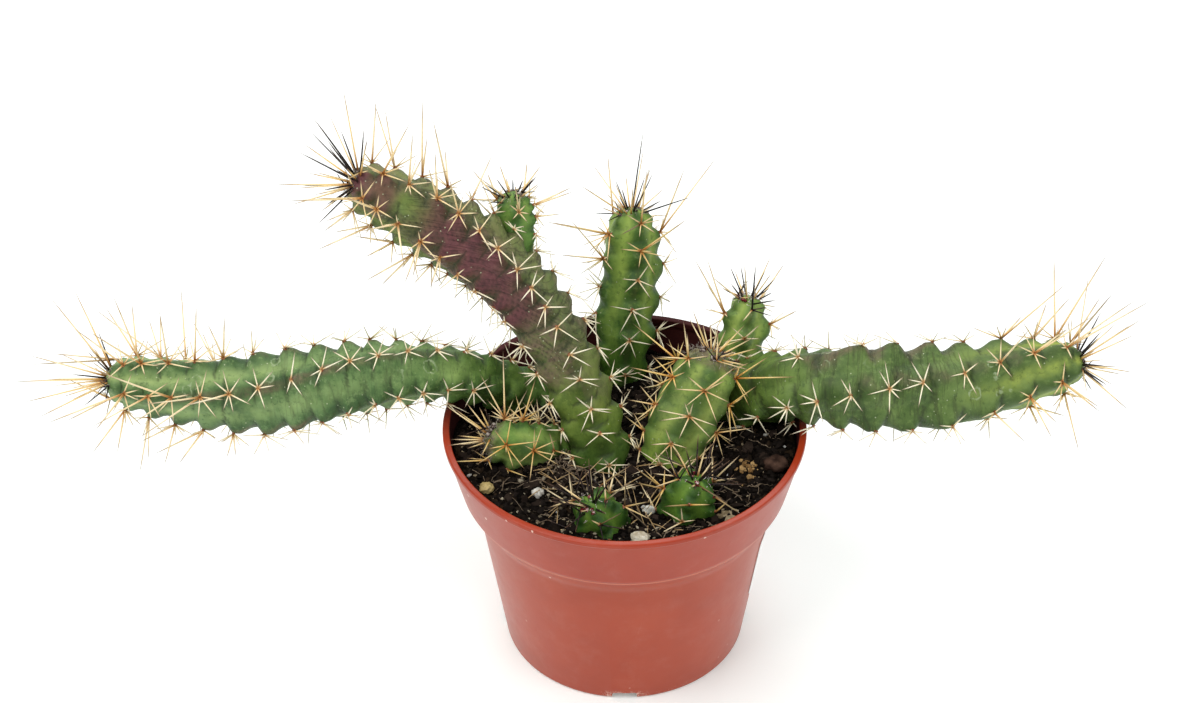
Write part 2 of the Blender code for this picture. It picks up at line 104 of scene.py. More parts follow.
# ---- stems ----
# path: centre line from root to tip, mm; radii: rib radius at even steps, mm
# twist: (mm from the root, degrees) of the first rib round the centre line
# rows: for a rib, its areoles' distances from the root, mm; other ribs follow rib 0
# lean: degrees by which a rib stands off its even place round the stem
STEMS = {
    "left_stem": dict(
        path=[(-20, 29, 66), (-36, 22, 83), (-56, 13, 97.5), (-76, 10, 100),
              (-108, 11, 93), (-142, 12, 91), (-173, 12, 97)],
        radii=[8, 9.5, 10, 13, 15, 12.5, 9],
        twist=[(0, 5), (45, -2), (67, -16), (83, -28), (103, -43), (120, -52), (137, -62),
               (150, -71), (170, -84)],
        rows={0: [67, 75, 83, 92, 103, 115.5, 126.5, 137, 147, 155, 163],
              1: [70.5, 78.5, 86.5, 96.5, 107, 119, 130, 140.5, 150, 159],
              4: [70.5, 78, 87.5, 97, 107, 117, 127, 136.5, 145.5, 154, 162]},
        lean={1: -11, 4: -9}),
    "right_stem": dict(
        path=[(21, 25, 66), (37, 18, 81), (52, 5.5, 98), (75, 1, 102),
              (103, 3, 99), (126, 8, 100), (152, 12, 104)],
        radii=[9, 12, 12.5, 15.3, 15.8, 13, 8],
        twist=[(0, 128), (30, 112), (44, 98), (63, 72), (82, 50), (93, 39), (108, 30), (122, 23),
               (134, 16), (152, 5)],
        rows={0: [44.5, 55, 63, 72, 82.5, 92.5, 107.5, 121.5, 134.5, 146],
              1: [70.5, 81, 91.5, 103, 116.5, 130, 142],
              4: [58, 75, 86, 100.5, 113.5, 127, 137.5]},
        lean={1: -5}),
    "leaning_stem": dict(
        path=[(-6, -14, 62), (-8, -9, 81), (-14, -2, 99), (-23, 4, 119),
              (-41, 8, 145), (-65, 9, 165), (-86, 9, 179)],
        radii=[8.5, 11, 11.5, 12, 13.5, 12.5, 8],
        twist=[(0, 20), (30, 16), (50, 17), (70, 27), (94, 35), (110, 46), (126, 59), (151, 65)],
        rows={0: [19.5, 30, 39, 50.5, 60, 70.5, 78.5, 86.5, 94, 103, 110.5, 118.5, 126.5, 136, 144.5],
              4: [34, 45, 57, 70, 82, 89, 99, 107.5, 116, 124.5, 133.5, 141.5]},
        lean={4: 4}),
    "side_branch": dict(
        path=[(-37, 10, 138), (-35, 17, 148), (-35.5, 21, 156), (-36, 23, 164)],
        radii=[5, 6.8, 7.5, 6.2], twist=[(0, -20), (15, -20), (30, 20)],
        rows={0: [12, 18.8, 25.2], 1: [15.5, 21.2]}),
    "upright_stem": dict(
        path=[(-3, 35, 63), (-1, 40, 80), (0, 47, 95), (2, 53, 112), (2, 60, 132)],
        radii=[7, 8.5, 11.5, 11.3, 11, 8], twist=[(0, 6), (45, 8), (60, 15), (74, 28)],
        rows={0: [29, 41, 52, 61.5, 70], 4: [24, 36.5, 46.5, 57.5, 66.5], 1: [31, 44, 55, 65]}),
    "right_back_stem": dict(
        path=[(37, 16, 83), (39, 27, 88), (40, 32, 97), (42, 37, 112)],
        radii=[5, 8, 9.5, 7], twist=[(0, -12), (20, 0), (39, 24)],
        rows={0: [16.5, 26.5, 36], 1: [18.5, 30.5], 4: [24, 32.5]}, valley=0.68, notch=0.26),
    "front_right_stem": dict(
        path=[(13, -14, 62), (15, -9, 77), (18, -4, 87), (24.5, 3, 99), (30, 9, 110.5)],
        radii=[8, 10, 12.8, 12, 10], ribs=6, twist=[(0, -30), (18, -24), (30, -6), (58, 5)],
        rows={0: [18, 25, 35, 45, 55], 5: [19, 25, 33, 44, 52], 1: [22, 33, 43, 51.5]},
        valley=0.80, notch=0.10),
    "lying_stem": dict(
        path=[(-19, 3, 71), (-25, -4, 80.5), (-35, -10, 86), (-46, -9.5, 89.5)],
        radii=[7, 8, 9, 8], twist=[(0, -88), (39, -88)],
        rows={0: [14, 20, 26, 32.5]}, valley=0.74, notch=0.24),
    "left_pup": dict(
        path=[(-4.5, -38.5, 68), (-8, -41, 81), (-11.5, -44, 90.5)],
        radii=[8, 10.6, 8.4], twist=[(0, 17), (25, 17)],
        rows={0: [5, 14.5, 21]}, valley=0.66, notch=0.15),
    "right_pup": dict(
        path=[(19, -35, 68), (20, -35, 81), (24, -36, 94)],
        radii=[8, 10.4, 8.4], twist=[(0, -11), (25, -11)],
        rows={0: [5, 15.5, 22]}, valley=0.66, notch=0.15),
}
PUPS = ("left_pup", "right_pup")
LOW_STEMS = ("front_right_stem", "lying_stem", *PUPS)    # more and more golden spines
BARE_TIPS = ("front_right_stem", "lying_stem")           # old woolly ends with no new growth
RED_TIPS = ("right_back_stem", *PUPS)                    # pink new growth in white wool
BALD_FOOT = {"left_stem": 46, "right_stem": 40}          # mm from the root with few spines left
VALLEY = 0.77                # flank radius as a share of the rib's radius
NOTCH = 0.19                 # depth of the dip between two areoles on a rib
NOTCH_AT = 0.30              # deepest place, in steps past an areole
NOTCH_END = 0.80             # where the rib is whole again
CROWDING = 0.66              # an areole's step towards the tip, as a share of the last one
RIDGE_SOFTNESS = 0.12        # how far a rib's crest is blunted, as a share of the way to the valley
CREST_POWER = 1.45
DIP_POWER = 1.6
CREASE_DEPTH = 0.42 * MM
LUMP_SIZE = 11 * MM
LUMP_HEIGHT = 0.20 * MM
FOLD_DEPTH = 0.30 * MM
GROWING_TIP = 5 * MM         # creases and dips fade out over this length
TIP_LENGTH = 0.95            # of the rounded tip, as a share of the radius there
TIP_POWER = 2.3
PATH_SAMPLES = 400
COARSE = 8                   # path samples between the points that distances are measured to
TWIST_SOFTENING = 20         # path samples on each side that the twist is averaged over
SKIN_STEP = 0.62 * MM        # edges of the skin's mesh along the stem and round it
SKIN_EDGE = 0.85 * MM
# skin that has shrunk: strength, from and to in mm along the stem, space between folds
# in mm, their tilt and the side, in degrees from the first rib, that they tilt towards
WRINKLED = {
    "leaning_stem": (0.9, 62, 128, 3.6, 1.70, 54),
    "right_stem": (0.62, 15, 106, 5.4, 0.08, 0),
    "left_stem": (0.45, 25, 108, 5.8, 0.05, 0),
}
# fine folds: how often they break off round the stem, their detail and their unevenness
FINE_FOLDS = {"leaning_stem": (3.4, 1.4, 0.6)}

CAMERA_AT = (0.0, -0.6951, 0.6604)
CAMERA_PITCH = -0.66334      # radians up from level, then to the right
CAMERA_YAW = -0.00903
CAMERA_LENS = 81.45


# ---- noise and vectors ----
def lattice(i, j, k, seed):
    n = i * 374761393 + j * 668265263 + k * 1442695041 + seed * 97463477
    n = (n ^ (n >> 13)) * 1274126177
    n = n ^ (n >> 16)
    return (n & 0xFFFF) / 0xFFFF


def value_noise(points, size, seed=0):
    """Smooth noise from -1 to 1 at an array of points, with features of one size."""
    where = points / size
    low = np.floor(where).astype(np.int64)
    t = where - low
    t = t * t * (3 - 2 * t)
    total = np.zeros(points.shape[:-1])
    for corner in np.ndindex(2, 2, 2):
        x, y, z = (t[..., k] if far else 1 - t[..., k] for k, far in enumerate(corner))
        total += x * y * z * lattice(*(low[..., k] + far for k, far in enumerate(corner)), seed)
    return 2 * total - 1


def rough_noise(points, size, octaves, seed=0):
    """Several sizes of noise added up."""
    return sum(value_noise(points, size / 2 ** octave, seed + octave) / 2 ** octave
               for octave in range(octaves))


def smooth_step(x):
    x = np.clip(x, 0.0, 1.0)
    return x * x * (3 - 2 * x)


def window(x, low, high, soft):
    """1 between low and high, falling to 0 over soft on both sides."""
    return smooth_step((x - low) / soft + 1) * smooth_step((high - x) / soft + 1)


def clipped(x):
    return float(np.clip(x, 0, 1))


def unit(vectors):
    return vectors / np.linalg.norm(vectors, axis=-1, keepdims=True)


def around(angle, one, two):
    """Directions at angles round an axis, from one side direction towards the other."""
    return np.cos(angle)[..., None] * one + np.sin(angle)[..., None] * two


# ---- meshes ----
def make_object(name, verts, faces, material, attributes=None, smooth=True):
    mesh = bpy.data.meshes.new(name)
    mesh.from_pydata(np.asarray(verts).tolist(), [], [tuple(face) for face in faces])
    for key, values in (attributes or {}).items():
        layer = mesh.attributes.new(key, "FLOAT", "POINT")
        layer.data.foreach_set("value", np.asarray(values, np.float32).ravel())
    mesh.polygons.foreach_set("use_smooth", [smooth] * len(mesh.polygons))
    mesh.materials.append(material)
    mesh.update()
    return placed(name, mesh)


def placed(name, data):
    thing = bpy.data.objects.new(name, data)
    bpy.context.scene.collection.objects.link(thing)
    return thing


def joined(name, parts, faces, material, values, smooth=True):
    """One mesh of parts with the same faces; values fit an array of parts by their points."""
    size = len(parts[0])
    every = [tuple(v + k * size for v in face) for k in range(len(parts)) for face in faces]
    spread = {key: np.broadcast_to(value, (len(parts), size)) for key, value in values.items()}
    return make_object(name, np.concatenate(parts), every, material, spread, smooth)


def stand_for(thing, node):
    """The piece rides on the body and replaces a CAD node."""
    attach(thing, "root")
    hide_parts(node)
    return thing


def tube_faces(rings, corners, offset=0):
    """Quads between rings and a fan at each end; the two end points come after the rings."""
    quads, fans = [], []
    for ring in range(rings - 1):
        start = offset + ring * corners
        for i in range(corners):
            j = (i + 1) % corners
            quads.append((start + i, start + j, start + corners + j, start + corners + i))
    last = offset + (rings - 1) * corners
    foot = last + corners
    for i in range(corners):
        j = (i + 1) % corners
        fans += [(offset + j, offset + i, foot), (last + i, last + j, foot + 1)]
    return quads + fans


def tube_points(centres, radii, one, two, sides, foot, tip):
    """Rings of points round centres, then the foot and the tip."""
    angle = np.linspace(0, math.tau, sides, endpoint=False)
    outward = around(angle, one[..., None, :], two[..., None, :])
    rings = centres[..., None, :] + radii[..., None, None] * outward
    flat = rings.reshape(*centres.shape[:-2], -1, 3)
    return np.concatenate([flat, foot[..., None, :], tip[..., None, :]], axis=-2)


def ball(subdivisions):
    """Points and faces of an even ball of radius 1, to be reshaped."""
    bm = bmesh.new()
    bmesh.ops.create_icosphere(bm, subdivisions=subdivisions, radius=1.0)
    verts = np.array([v.co[:] for v in bm.verts])
    faces = [tuple(v.index for v in face.verts) for face in bm.faces]
    bm.free()
    return verts, faces


# ---- materials ----
class Nodes:
    """Short names for building a material's node tree."""

    def __init__(self, name):
        self.material = bpy.data.materials.new(name)
        self.material.use_nodes = True
        self.tree = self.material.node_tree
        self.shader = self.tree.nodes["Principled BSDF"]
        self.place = self.tree.nodes.new("ShaderNodeTexCoord").outputs["Object"]

    def add(self, kind, inputs=None, **settings):
        node = self.tree.nodes.new(kind)
        for key, value in settings.items():
            setattr(node, key, value)
        for key, value in (inputs or {}).items():
            self.set(node.inputs[key], value)
        return node

    def set(self, socket, value):
        if isinstance(value, bpy.types.NodeSocket):
            self.tree.links.new(value, socket)
        elif isinstance(value, tuple) and len(value) == 3 and socket.type == "RGBA":
            socket.default_value = (*value, 1.0)
        else:
            socket.default_value = value

    def attribute(self, name):
        return self.add("ShaderNodeAttribute", attribute_name=name).outputs["Fac"]

    def axis(self, name):
        return self.add("ShaderNodeSeparateXYZ", {"Vector": self.place}).outputs[name]

    def noise(self, size, detail=3.0, roughness=0.55, vector=None, distortion=0.0):
        return self.add("ShaderNodeTexNoise", {
            "Vector": vector or self.place, "Scale": 1.0 / size, "Detail": detail,
            "Roughness": roughness, "Distortion": distortion}).outputs["Fac"]

    def cells(self, size, vector=None):
        return self.add("ShaderNodeTexVoronoi", {"Vector": vector or self.place, "Scale": 1.0 / size})

    def warped(self, amount, size):
        """Object coordinates pushed about by noise, so that cells get uneven outlines."""
        push = self.add("ShaderNodeTexNoise", {"Vector": self.place, "Scale": 1.0 / size, "Detail": 2.0})
        centred = self.add("ShaderNodeVectorMath", {0: push.outputs["Color"], 1: (0.5, 0.5, 0.5)},
                           operation="SUBTRACT")
        scaled = self.add("ShaderNodeVectorMath", {0: centred.outputs[0], "Scale": 2 * amount},
                          operation="SCALE")
        moved = self.add("ShaderNodeVectorMath", {0: self.place, 1: scaled.outputs[0]}, operation="ADD")
        return moved.outputs[0]

    def stretched(self, scale, rotation=(0.0, 0.0, 0.0)):
        return self.add("ShaderNodeMapping", {
            "Vector": self.place, "Scale": scale, "Rotation": rotation}).outputs[0]

    def math(self, operation, a, b=0.0):
        return self.add("ShaderNodeMath", {0: a, 1: b}, operation=operation).outputs[0]

    def times(self, first, *others):
        for other in others:
            first = self.math("MULTIPLY", first, other)
        return first

    def band(self, value, low, high):
        """0 below low, 1 above high, smooth between; high may be the smaller."""
        return self.add("ShaderNodeMapRange", {
            "Value": value, "From Min": low, "From Max": high}, interpolation_type="SMOOTHSTEP").outputs[0]

    def between(self, value, low, high):
        """Low where the value is 0, high where it is 1."""
        return self.add("ShaderNodeMapRange", {"Value": value, "To Min": low, "To Max": high}).outputs[0]

    def ramp(self, value, stops):
        node = self.add("ShaderNodeValToRGB", {"Fac": value})
        ramp = node.color_ramp
        for at, colour in stops[1:-1]:
            ramp.elements.new(at)
        for element, (at, colour) in zip(ramp.elements, stops):
            element.position = at
            element.color = (*colour, 1.0)
        return node.outputs["Color"]

    def mix(self, share, a, b, blend="MIX"):
        node = self.add("ShaderNodeMix", {0: share, 6: a, 7: b}, data_type="RGBA", blend_type=blend)
        return node.outputs[2]

    def tint(self, colour, share, strength, other, blend="MIX"):
        """The colour mixed with another one, by a share that a strength scales down."""
        return self.mix(self.times(share, strength), colour, other, blend)

    def bump(self, height, distance, strength=1.0, normal=None):
        node = self.add("ShaderNodeBump", {"Height": height, "Distance": distance, "Strength": strength})
        if normal:
            self.set(node.inputs["Normal"], normal)
        return node.outputs["Normal"]

    def finish(self, colour, roughness, normal=None, **fixed):
        """Joins the surface to the shader; values that are the same all over stay on its sockets."""
        self.set(self.shader.inputs["Base Color"], colour)
        self.set(self.shader.inputs["Roughness"], roughness)
        if normal:
            self.set(self.shader.inputs["Normal"], normal)
        for key, value in fixed.items():
            self.set(self.shader.inputs[key.replace("_", " ")], value)
        return self.material


# ---- stems: centre line, ribs and areoles ----
def spline(points, count):
    """Evenly spaced points on the natural cubic curve through the given ones, and its length."""
    knots = np.array(points, float)
    gaps = np.linalg.norm(np.diff(knots, axis=0), axis=1)
    start = np.concatenate([[0.0], np.cumsum(gaps)])
    size = len(knots)
    matrix = np.eye(size)
    right = np.zeros_like(knots)
    for i in range(1, size - 1):
        matrix[i, i - 1:i + 2] = gaps[i - 1], 2 * (gaps[i - 1] + gaps[i]), gaps[i]
        right[i] = 6 * ((knots[i + 1] - knots[i]) / gaps[i] - (knots[i] - knots[i - 1]) / gaps[i - 1])
    bend = np.linalg.solve(matrix, right)
    where = np.linspace(0.0, start[-1], 6 * count)
    i = np.clip(np.searchsorted(start, where, side="right") - 1, 0, size - 2)
    width = gaps[i][:, None]
    after = (where - start[i])[:, None]
    before = width - after
    curve = (bend[i] * before ** 3 + bend[i + 1] * after ** 3) / (6 * width)
    curve += (knots[i] / width - bend[i] * width / 6) * before
    curve += (knots[i + 1] / width - bend[i + 1] * width / 6) * after
    run = np.concatenate([[0.0], np.cumsum(np.linalg.norm(np.diff(curve, axis=0), axis=1))])
    even = np.linspace(0.0, run[-1], count)
    return np.stack([np.interp(even, run, curve[:, k]) for k in range(3)], axis=1), run[-1]


def extended(row, length):
    """Areole distances carried on to the root and crowded towards the tip."""
    row = list(row)
    while row[0] > 4:
        row.insert(0, row[0] - (row[1] - row[0]))
    while row[-1] < length - 0.5:
        row.append(row[-1] + max(CROWDING * (row[-1] - row[-2]), 0.6))
    return np.array(row) * MM


class Stem:
    """One stem's centre line, skin and areoles."""

    def __init__(self, name, path, radii, twist, rows, ribs=5, lean=None, valley=VALLEY, notch=NOTCH):
        self.name = name
        self.pup = name in PUPS
        self.low = name in LOW_STEMS
        self.bare = name in BARE_TIPS
        self.valley = valley
        self.notch = notch
        self.ribs = ribs
        self.radii = np.array(radii) * MM
        self.line, self.length = spline(np.array(path) * MM, PATH_SAMPLES)
        self.ahead = unit(np.gradient(self.line, axis=0))
        self.side = self.carried_normals()
        long = self.length / MM
        turned = np.interp(np.linspace(0, long, PATH_SAMPLES), *np.array(twist, float).T)
        padded = np.pad(turned, TWIST_SOFTENING, "edge")
        run = 2 * TWIST_SOFTENING + 1
        self.turned = np.radians(np.convolve(padded, np.ones(run) / run, "valid"))
        lean = lean or {}
        self.rib_at = np.array([math.tau * j / ribs + math.radians(lean.get(j, 0)) for j in range(ribs)])
        self.rows = []
        first = extended(rows[0], long)
        for j in range(ribs):
            shift = ((2 * j) % ribs) / ribs
            between = first[:-1] + shift * np.diff(first)
            self.rows.append(extended(rows[j], long) if j in rows else between)

    def carried_normals(self):
        """Side directions that turn as little as they can along the centre line."""
        upright = abs(self.ahead[0][2]) >= 0.75
        normal = np.array([0.0, -1.0, 0.0] if upright else [0.0, 0.0, 1.0])
        normals = []
        for ahead in self.ahead:
            normal = unit(normal - ahead * (normal @ ahead))
            normals.append(normal)
        return np.array(normals)

    def frames(self, along):
        """Centres, directions and both normals at an array of distances."""
        at = np.clip(along / self.length, 0.0, 1.0) * (PATH_SAMPLES - 1)
        low = np.minimum(at.astype(int), PATH_SAMPLES - 2)
        share = (at - low)[..., None]
        centre = self.line[low] * (1 - share) + self.line[low + 1] * share
        ahead = unit(self.ahead[low] * (1 - share) + self.ahead[low + 1] * share)
        side = self.side[low]
        side = unit(side - ahead * (side * ahead).sum(-1)[..., None])
        return centre, ahead, side, np.cross(ahead, side)

    def rib_radius(self, along):
        share = np.clip(along / self.length, 0.0, 1.0)
        radius = np.interp(share, np.linspace(0, 1, len(self.radii)), self.radii)
        left = np.clip((self.length - along) / (TIP_LENGTH * radius), 0.0, 1.0)
        return radius * (1 - (1 - left) ** TIP_POWER) ** 0.5

    def first_rib(self, along):
        return np.interp(along, np.linspace(0, self.length, PATH_SAMPLES), self.turned)

    def ribs_near(self, along, angle):
        """For points on the skin: the nearest rib, the way from it to the valley as 0 to 1,
        the rib before the point and the share of the way from that one to the next."""
        turned = np.mod(angle - self.first_rib(along), math.tau)
        edges = np.append(self.rib_at, self.rib_at[0] + math.tau)
        turned = np.where(turned < edges[0], turned + math.tau, turned)
        low = np.clip(np.searchsorted(edges, turned, side="right") - 1, 0, self.ribs - 1)
        share = (turned - edges[low]) / (edges[low + 1] - edges[low])
        nearest = np.where(share < 0.5, low, (low + 1) % self.ribs)
        return nearest, np.minimum(share, 1 - share) * 2, low, share

    def steps_past(self, rib, along):
        """How far a distance is past the last areole of its rib, as a share of the step."""
        steps = np.zeros(np.shape(along))
        for j, row in enumerate(self.rows):
            chosen = rib == j
            steps[chosen] = np.interp(along[chosen], row, np.arange(len(row)))
        return steps - np.floor(steps)

    def skin(self, along, angle):
        """Points of the skin, the values that its material reads, and where the ribs are."""
        along, angle = np.broadcast_arrays(along, angle)
        centre, ahead, side, other = self.frames(along)
        nearest, way, low, share = self.ribs_near(along, angle)
        ridge = 1 - (np.sqrt(way ** 2 + RIDGE_SOFTNESS ** 2) - RIDGE_SOFTNESS)
        crest = ridge ** CREST_POWER
        past = self.steps_past(nearest, along)
        fall = np.sin(np.clip(past / NOTCH_AT, 0, 1) * math.pi / 2) ** DIP_POWER
        back = np.clip((past - NOTCH_AT) / (NOTCH_END - NOTCH_AT), 0, 1)
        rise = np.cos(back * math.pi / 2) ** DIP_POWER
        dip = np.where(past < NOTCH_AT, fall, rise)
        grown = smooth_step((self.length - along) / GROWING_TIP)
        wave = value_noise(centre + 0.2 * (np.cos(angle)[..., None] * side), 9 * MM, 3)
        crease_at = past - NOTCH_AT + 0.05 + 0.07 * wave
        reach = np.where(value_noise(centre, 6 * MM, 5) > 0.1, 1.15, 0.6)
        crease = np.exp(-(crease_at / 0.050) ** 2) * np.exp(-(way / reach) ** 4) * grown
        crease = crease * (1.0 if self.name in WRINKLED else 0.35)
        radius = self.rib_radius(along) * (self.valley + (1 - self.valley) * crest)
        radius = radius * (1 - self.notch * dip * ridge ** 1.7 * (0.35 + 0.65 * grown))
        radius = radius - CREASE_DEPTH * crease
        outward = around(angle, side, other)
        points = centre + radius[..., None] * outward
        lumps = rough_noise(points, LUMP_SIZE, 2, 7) * LUMP_HEIGHT
        shrunk, fold_at, line = self.folds(along, angle, points)
        lumps = lumps - shrunk * line * FOLD_DEPTH
        points = points + outward * (lumps * smooth_step(radius / (4 * MM)))[..., None]
        values = dict(way=way, crease=crease, dip=dip * crest, age=along / self.length, shrunk=shrunk,
                      fold_at=fold_at, line=line * shrunk, cosine=np.cos(angle), sine=np.sin(angle))
        return points, values, low, share

    def folds(self, along, angle, points):
        """How far the skin has shrunk, the place across the folds in mm, and the main fold lines."""
        strength, start, end, space, tilt, side = WRINKLED.get(self.name, (0.0, 0, 1, 4.0, 0.0, 0))
        turned = angle - self.first_rib(along) - math.radians(side)
        fold_at = along / MM + tilt * 12 * np.cos(turned)
        shrunk = strength * window(along / MM, start, end, 14)
        phase = fold_at / space + 0.8 * value_noise(points, 15 * MM, 61)
        number = np.floor(phase)
        off = (phase - number - 0.5) * space
        place = np.stack([number * 5.3, 1.5 * np.cos(angle), 1.5 * np.sin(angle)], axis=-1)
        kept = smooth_step((value_noise(place, 1.0, 62) + 0.30) / 0.4)
        return shrunk, fold_at, kept * np.exp(-(off / 0.45) ** 2)

    def normal(self, along, angle):
        """Skin point, outward normal and tipward tangent at one place, ignoring creases."""
        step = 0.8 * MM
        centre, ahead, side, other = self.frames(np.array([along - step, along, along + step]))
        radius = self.rib_radius(np.array([along - step, along, min(along + step, self.length)]))
        outward = around(angle, side, other)
        points = centre + radius[:, None] * outward
        tipward = unit(points[2] - points[0])
        normal = np.cross(tipward, np.cross(ahead[1], outward[1]))
        normal *= np.sign(normal @ outward[1] + normal @ ahead[1] * 0.2) or 1.0
        return points[1], unit(normal), tipward


def soil_level(y):
    return SOIL_TOP - (SOIL_TOP - SOIL_BACK) * smooth_step((y - SLUMP_FROM) / SLUMP_RUN)


def inside_stem(stem, points, share):
    """Whether points lie inside a share of a stem's rib radius."""
    far = np.linalg.norm(points[:, None] - stem.line[None, ::COARSE], axis=-1)
    at = far.argmin(axis=1)
    along = COARSE * at / (PATH_SAMPLES - 1) * stem.length
    return far[np.arange(len(points)), at] < share * np.maximum(stem.rib_radius(along), 1 * MM)


def inside_any(stems, point, share, but=None):
    return any(inside_stem(stem, point[None], share)[0] for stem in stems if stem is not but)


# ---- skins ----
PUP_SKIN = ((0.014, 0.046, 0.009), (0.042, 0.112, 0.014), (0.112, 0.218, 0.026), (0.165, 0.290, 0.038),
            0.0, 1.0, 0.0)
SKINS = {
    # dark, middle and light green, the pale band along young flanks, the share of
    # the length over which that band comes in, and how much water has marked the skin
    "left_stem": ((0.038, 0.088, 0.028), (0.108, 0.194, 0.065), (0.225, 0.335, 0.130),
                  (0.330, 0.445, 0.160), 0.25, 0.90, 0.6),
    "right_stem": ((0.042, 0.080, 0.020), (0.097, 0.160, 0.041), (0.164, 0.245, 0.070),
                   (0.355, 0.445, 0.084), 0.62, 0.95, 0.7),
    "leaning_stem": ((0.048, 0.084, 0.022), (0.116, 0.172, 0.044), (0.195, 0.255, 0.074),
                     (0.190, 0.235, 0.055), 0.60, 0.95, 0.0),
    "side_branch": ((0.040, 0.100, 0.020), (0.090, 0.195, 0.036), (0.160, 0.290, 0.058),
                    (0.230, 0.350, 0.075), 0.2, 0.9, 0.0),
    "upright_stem": ((0.026, 0.072, 0.014), (0.086, 0.170, 0.031), (0.195, 0.295, 0.056),
                     (0.265, 0.375, 0.068), 0.0, 0.7, 0.2),
    "right_back_stem": ((0.055, 0.115, 0.026), (0.158, 0.266, 0.058), (0.270, 0.390, 0.092),
                        (0.350, 0.465, 0.108), 0.0, 0.6, 0.0),
    "front_right_stem": ((0.044, 0.096, 0.019), (0.112, 0.198, 0.040), (0.210, 0.314, 0.066),
                         (0.310, 0.405, 0.090), -0.5, 0.4, 0.2),
    "lying_stem": ((0.044, 0.106, 0.020), (0.122, 0.238, 0.050), (0.232, 0.368, 0.084),
                   (0.300, 0.430, 0.104), -0.5, 0.4, 0.0),
    "left_pup": PUP_SKIN,
    "right_pup": PUP_SKIN,
}
# how strongly each stem is darkened just above the soil, partly grime and partly painted shade
FOOT_SHADE = {"leaning_stem": 0.85, "upright_stem": 0.60, "right_stem": 0.50, "left_stem": 0.35}
PURPLE = (0.145, 0.052, 0.056)
DEEP_PURPLE = (0.050, 0.022, 0.024)
PALE_PURPLE = (0.20, 0.085, 0.080)
BROWN = (0.230, 0.168, 0.105)
DARK_BROWN = (0.115, 0.082, 0.055)


def stains(stem, values, low, share, points, along):
    """Where the skin has turned purple or brown, from 0 to 1."""
    def part(start, end, soft):
        return window(along / MM, start, end, soft)

    def near_rib(start, soft):
        return smooth_step((start - values["way"]) / soft)

    purple = np.zeros(along.shape)
    brown = np.zeros(along.shape)
    blotch = rough_noise(points, 14 * MM, 3, 21)
    height = points[..., 2] / MM
    if stem.name == "leaning_stem":
        # the flank between the last rib and the first, which faces the light
        flank = (low == 4) * window(share, 0.05, 0.98, 0.08)
        face = np.clip(flank + 0.7 * (low == 3) * window(share, 0.6, 1.0, 0.2), 0, 1)
        purple = face * part(82, 122, 12) * (0.95 + 0.25 * blotch)
        next_flank = (low == 0) * window(share, 0.0, 1.0, 0.1)
        purple = purple + next_flank * 0.25 * part(84, 118, 12) * (0.6 + 0.8 * blotch)
        brown = face * part(54, 84, 9) + 0.40 * part(60, 140, 12) * near_rib(0.6, 0.3)
        brown = brown + 0.45 * next_flank * part(44, 140, 12)
        brown = brown + 0.40 * part(146, 160, 6)
        brown = brown * (0.9 + 0.45 * blotch)
        purple = purple + face * 0.80 * part(140, 153, 5) + 0.5 * part(151, 160, 4)
    elif stem.name == "right_stem":
        upper = 0.9 * smooth_step((height - 108) / 5)
        brown = smooth_step((values["dip"] - 0.05) / 0.6) * part(55, 128, 14) * upper
        brown = brown + 0.7 * near_rib(0.35, 0.3) * part(60, 118, 12) * upper * (0.7 + blotch)
    elif stem.name == "left_stem":
        front = near_rib(0.32, 0.2) * np.isin(low, (0, 4)) * (points[..., 1] < 6 * MM)
        brown = front * part(92, 140, 12) * (0.45 + 0.6 * blotch)
        brown = brown + 0.5 * near_rib(0.30, 0.2) * (height > 104) * part(60, 140, 15)
    elif stem.name in ("upright_stem", "right_back_stem", "side_branch"):
        brown = 0.25 * near_rib(0.25, 0.2) * (0.5 + blotch)
    elif stem.bare:
        tip = stem.length / MM
        brown = part(tip - 3, tip + 3, 3) * 0.9 + 0.24 * np.clip(blotch, 0, 1)
    return np.clip(purple, 0, 1), np.clip(brown, 0, 1)


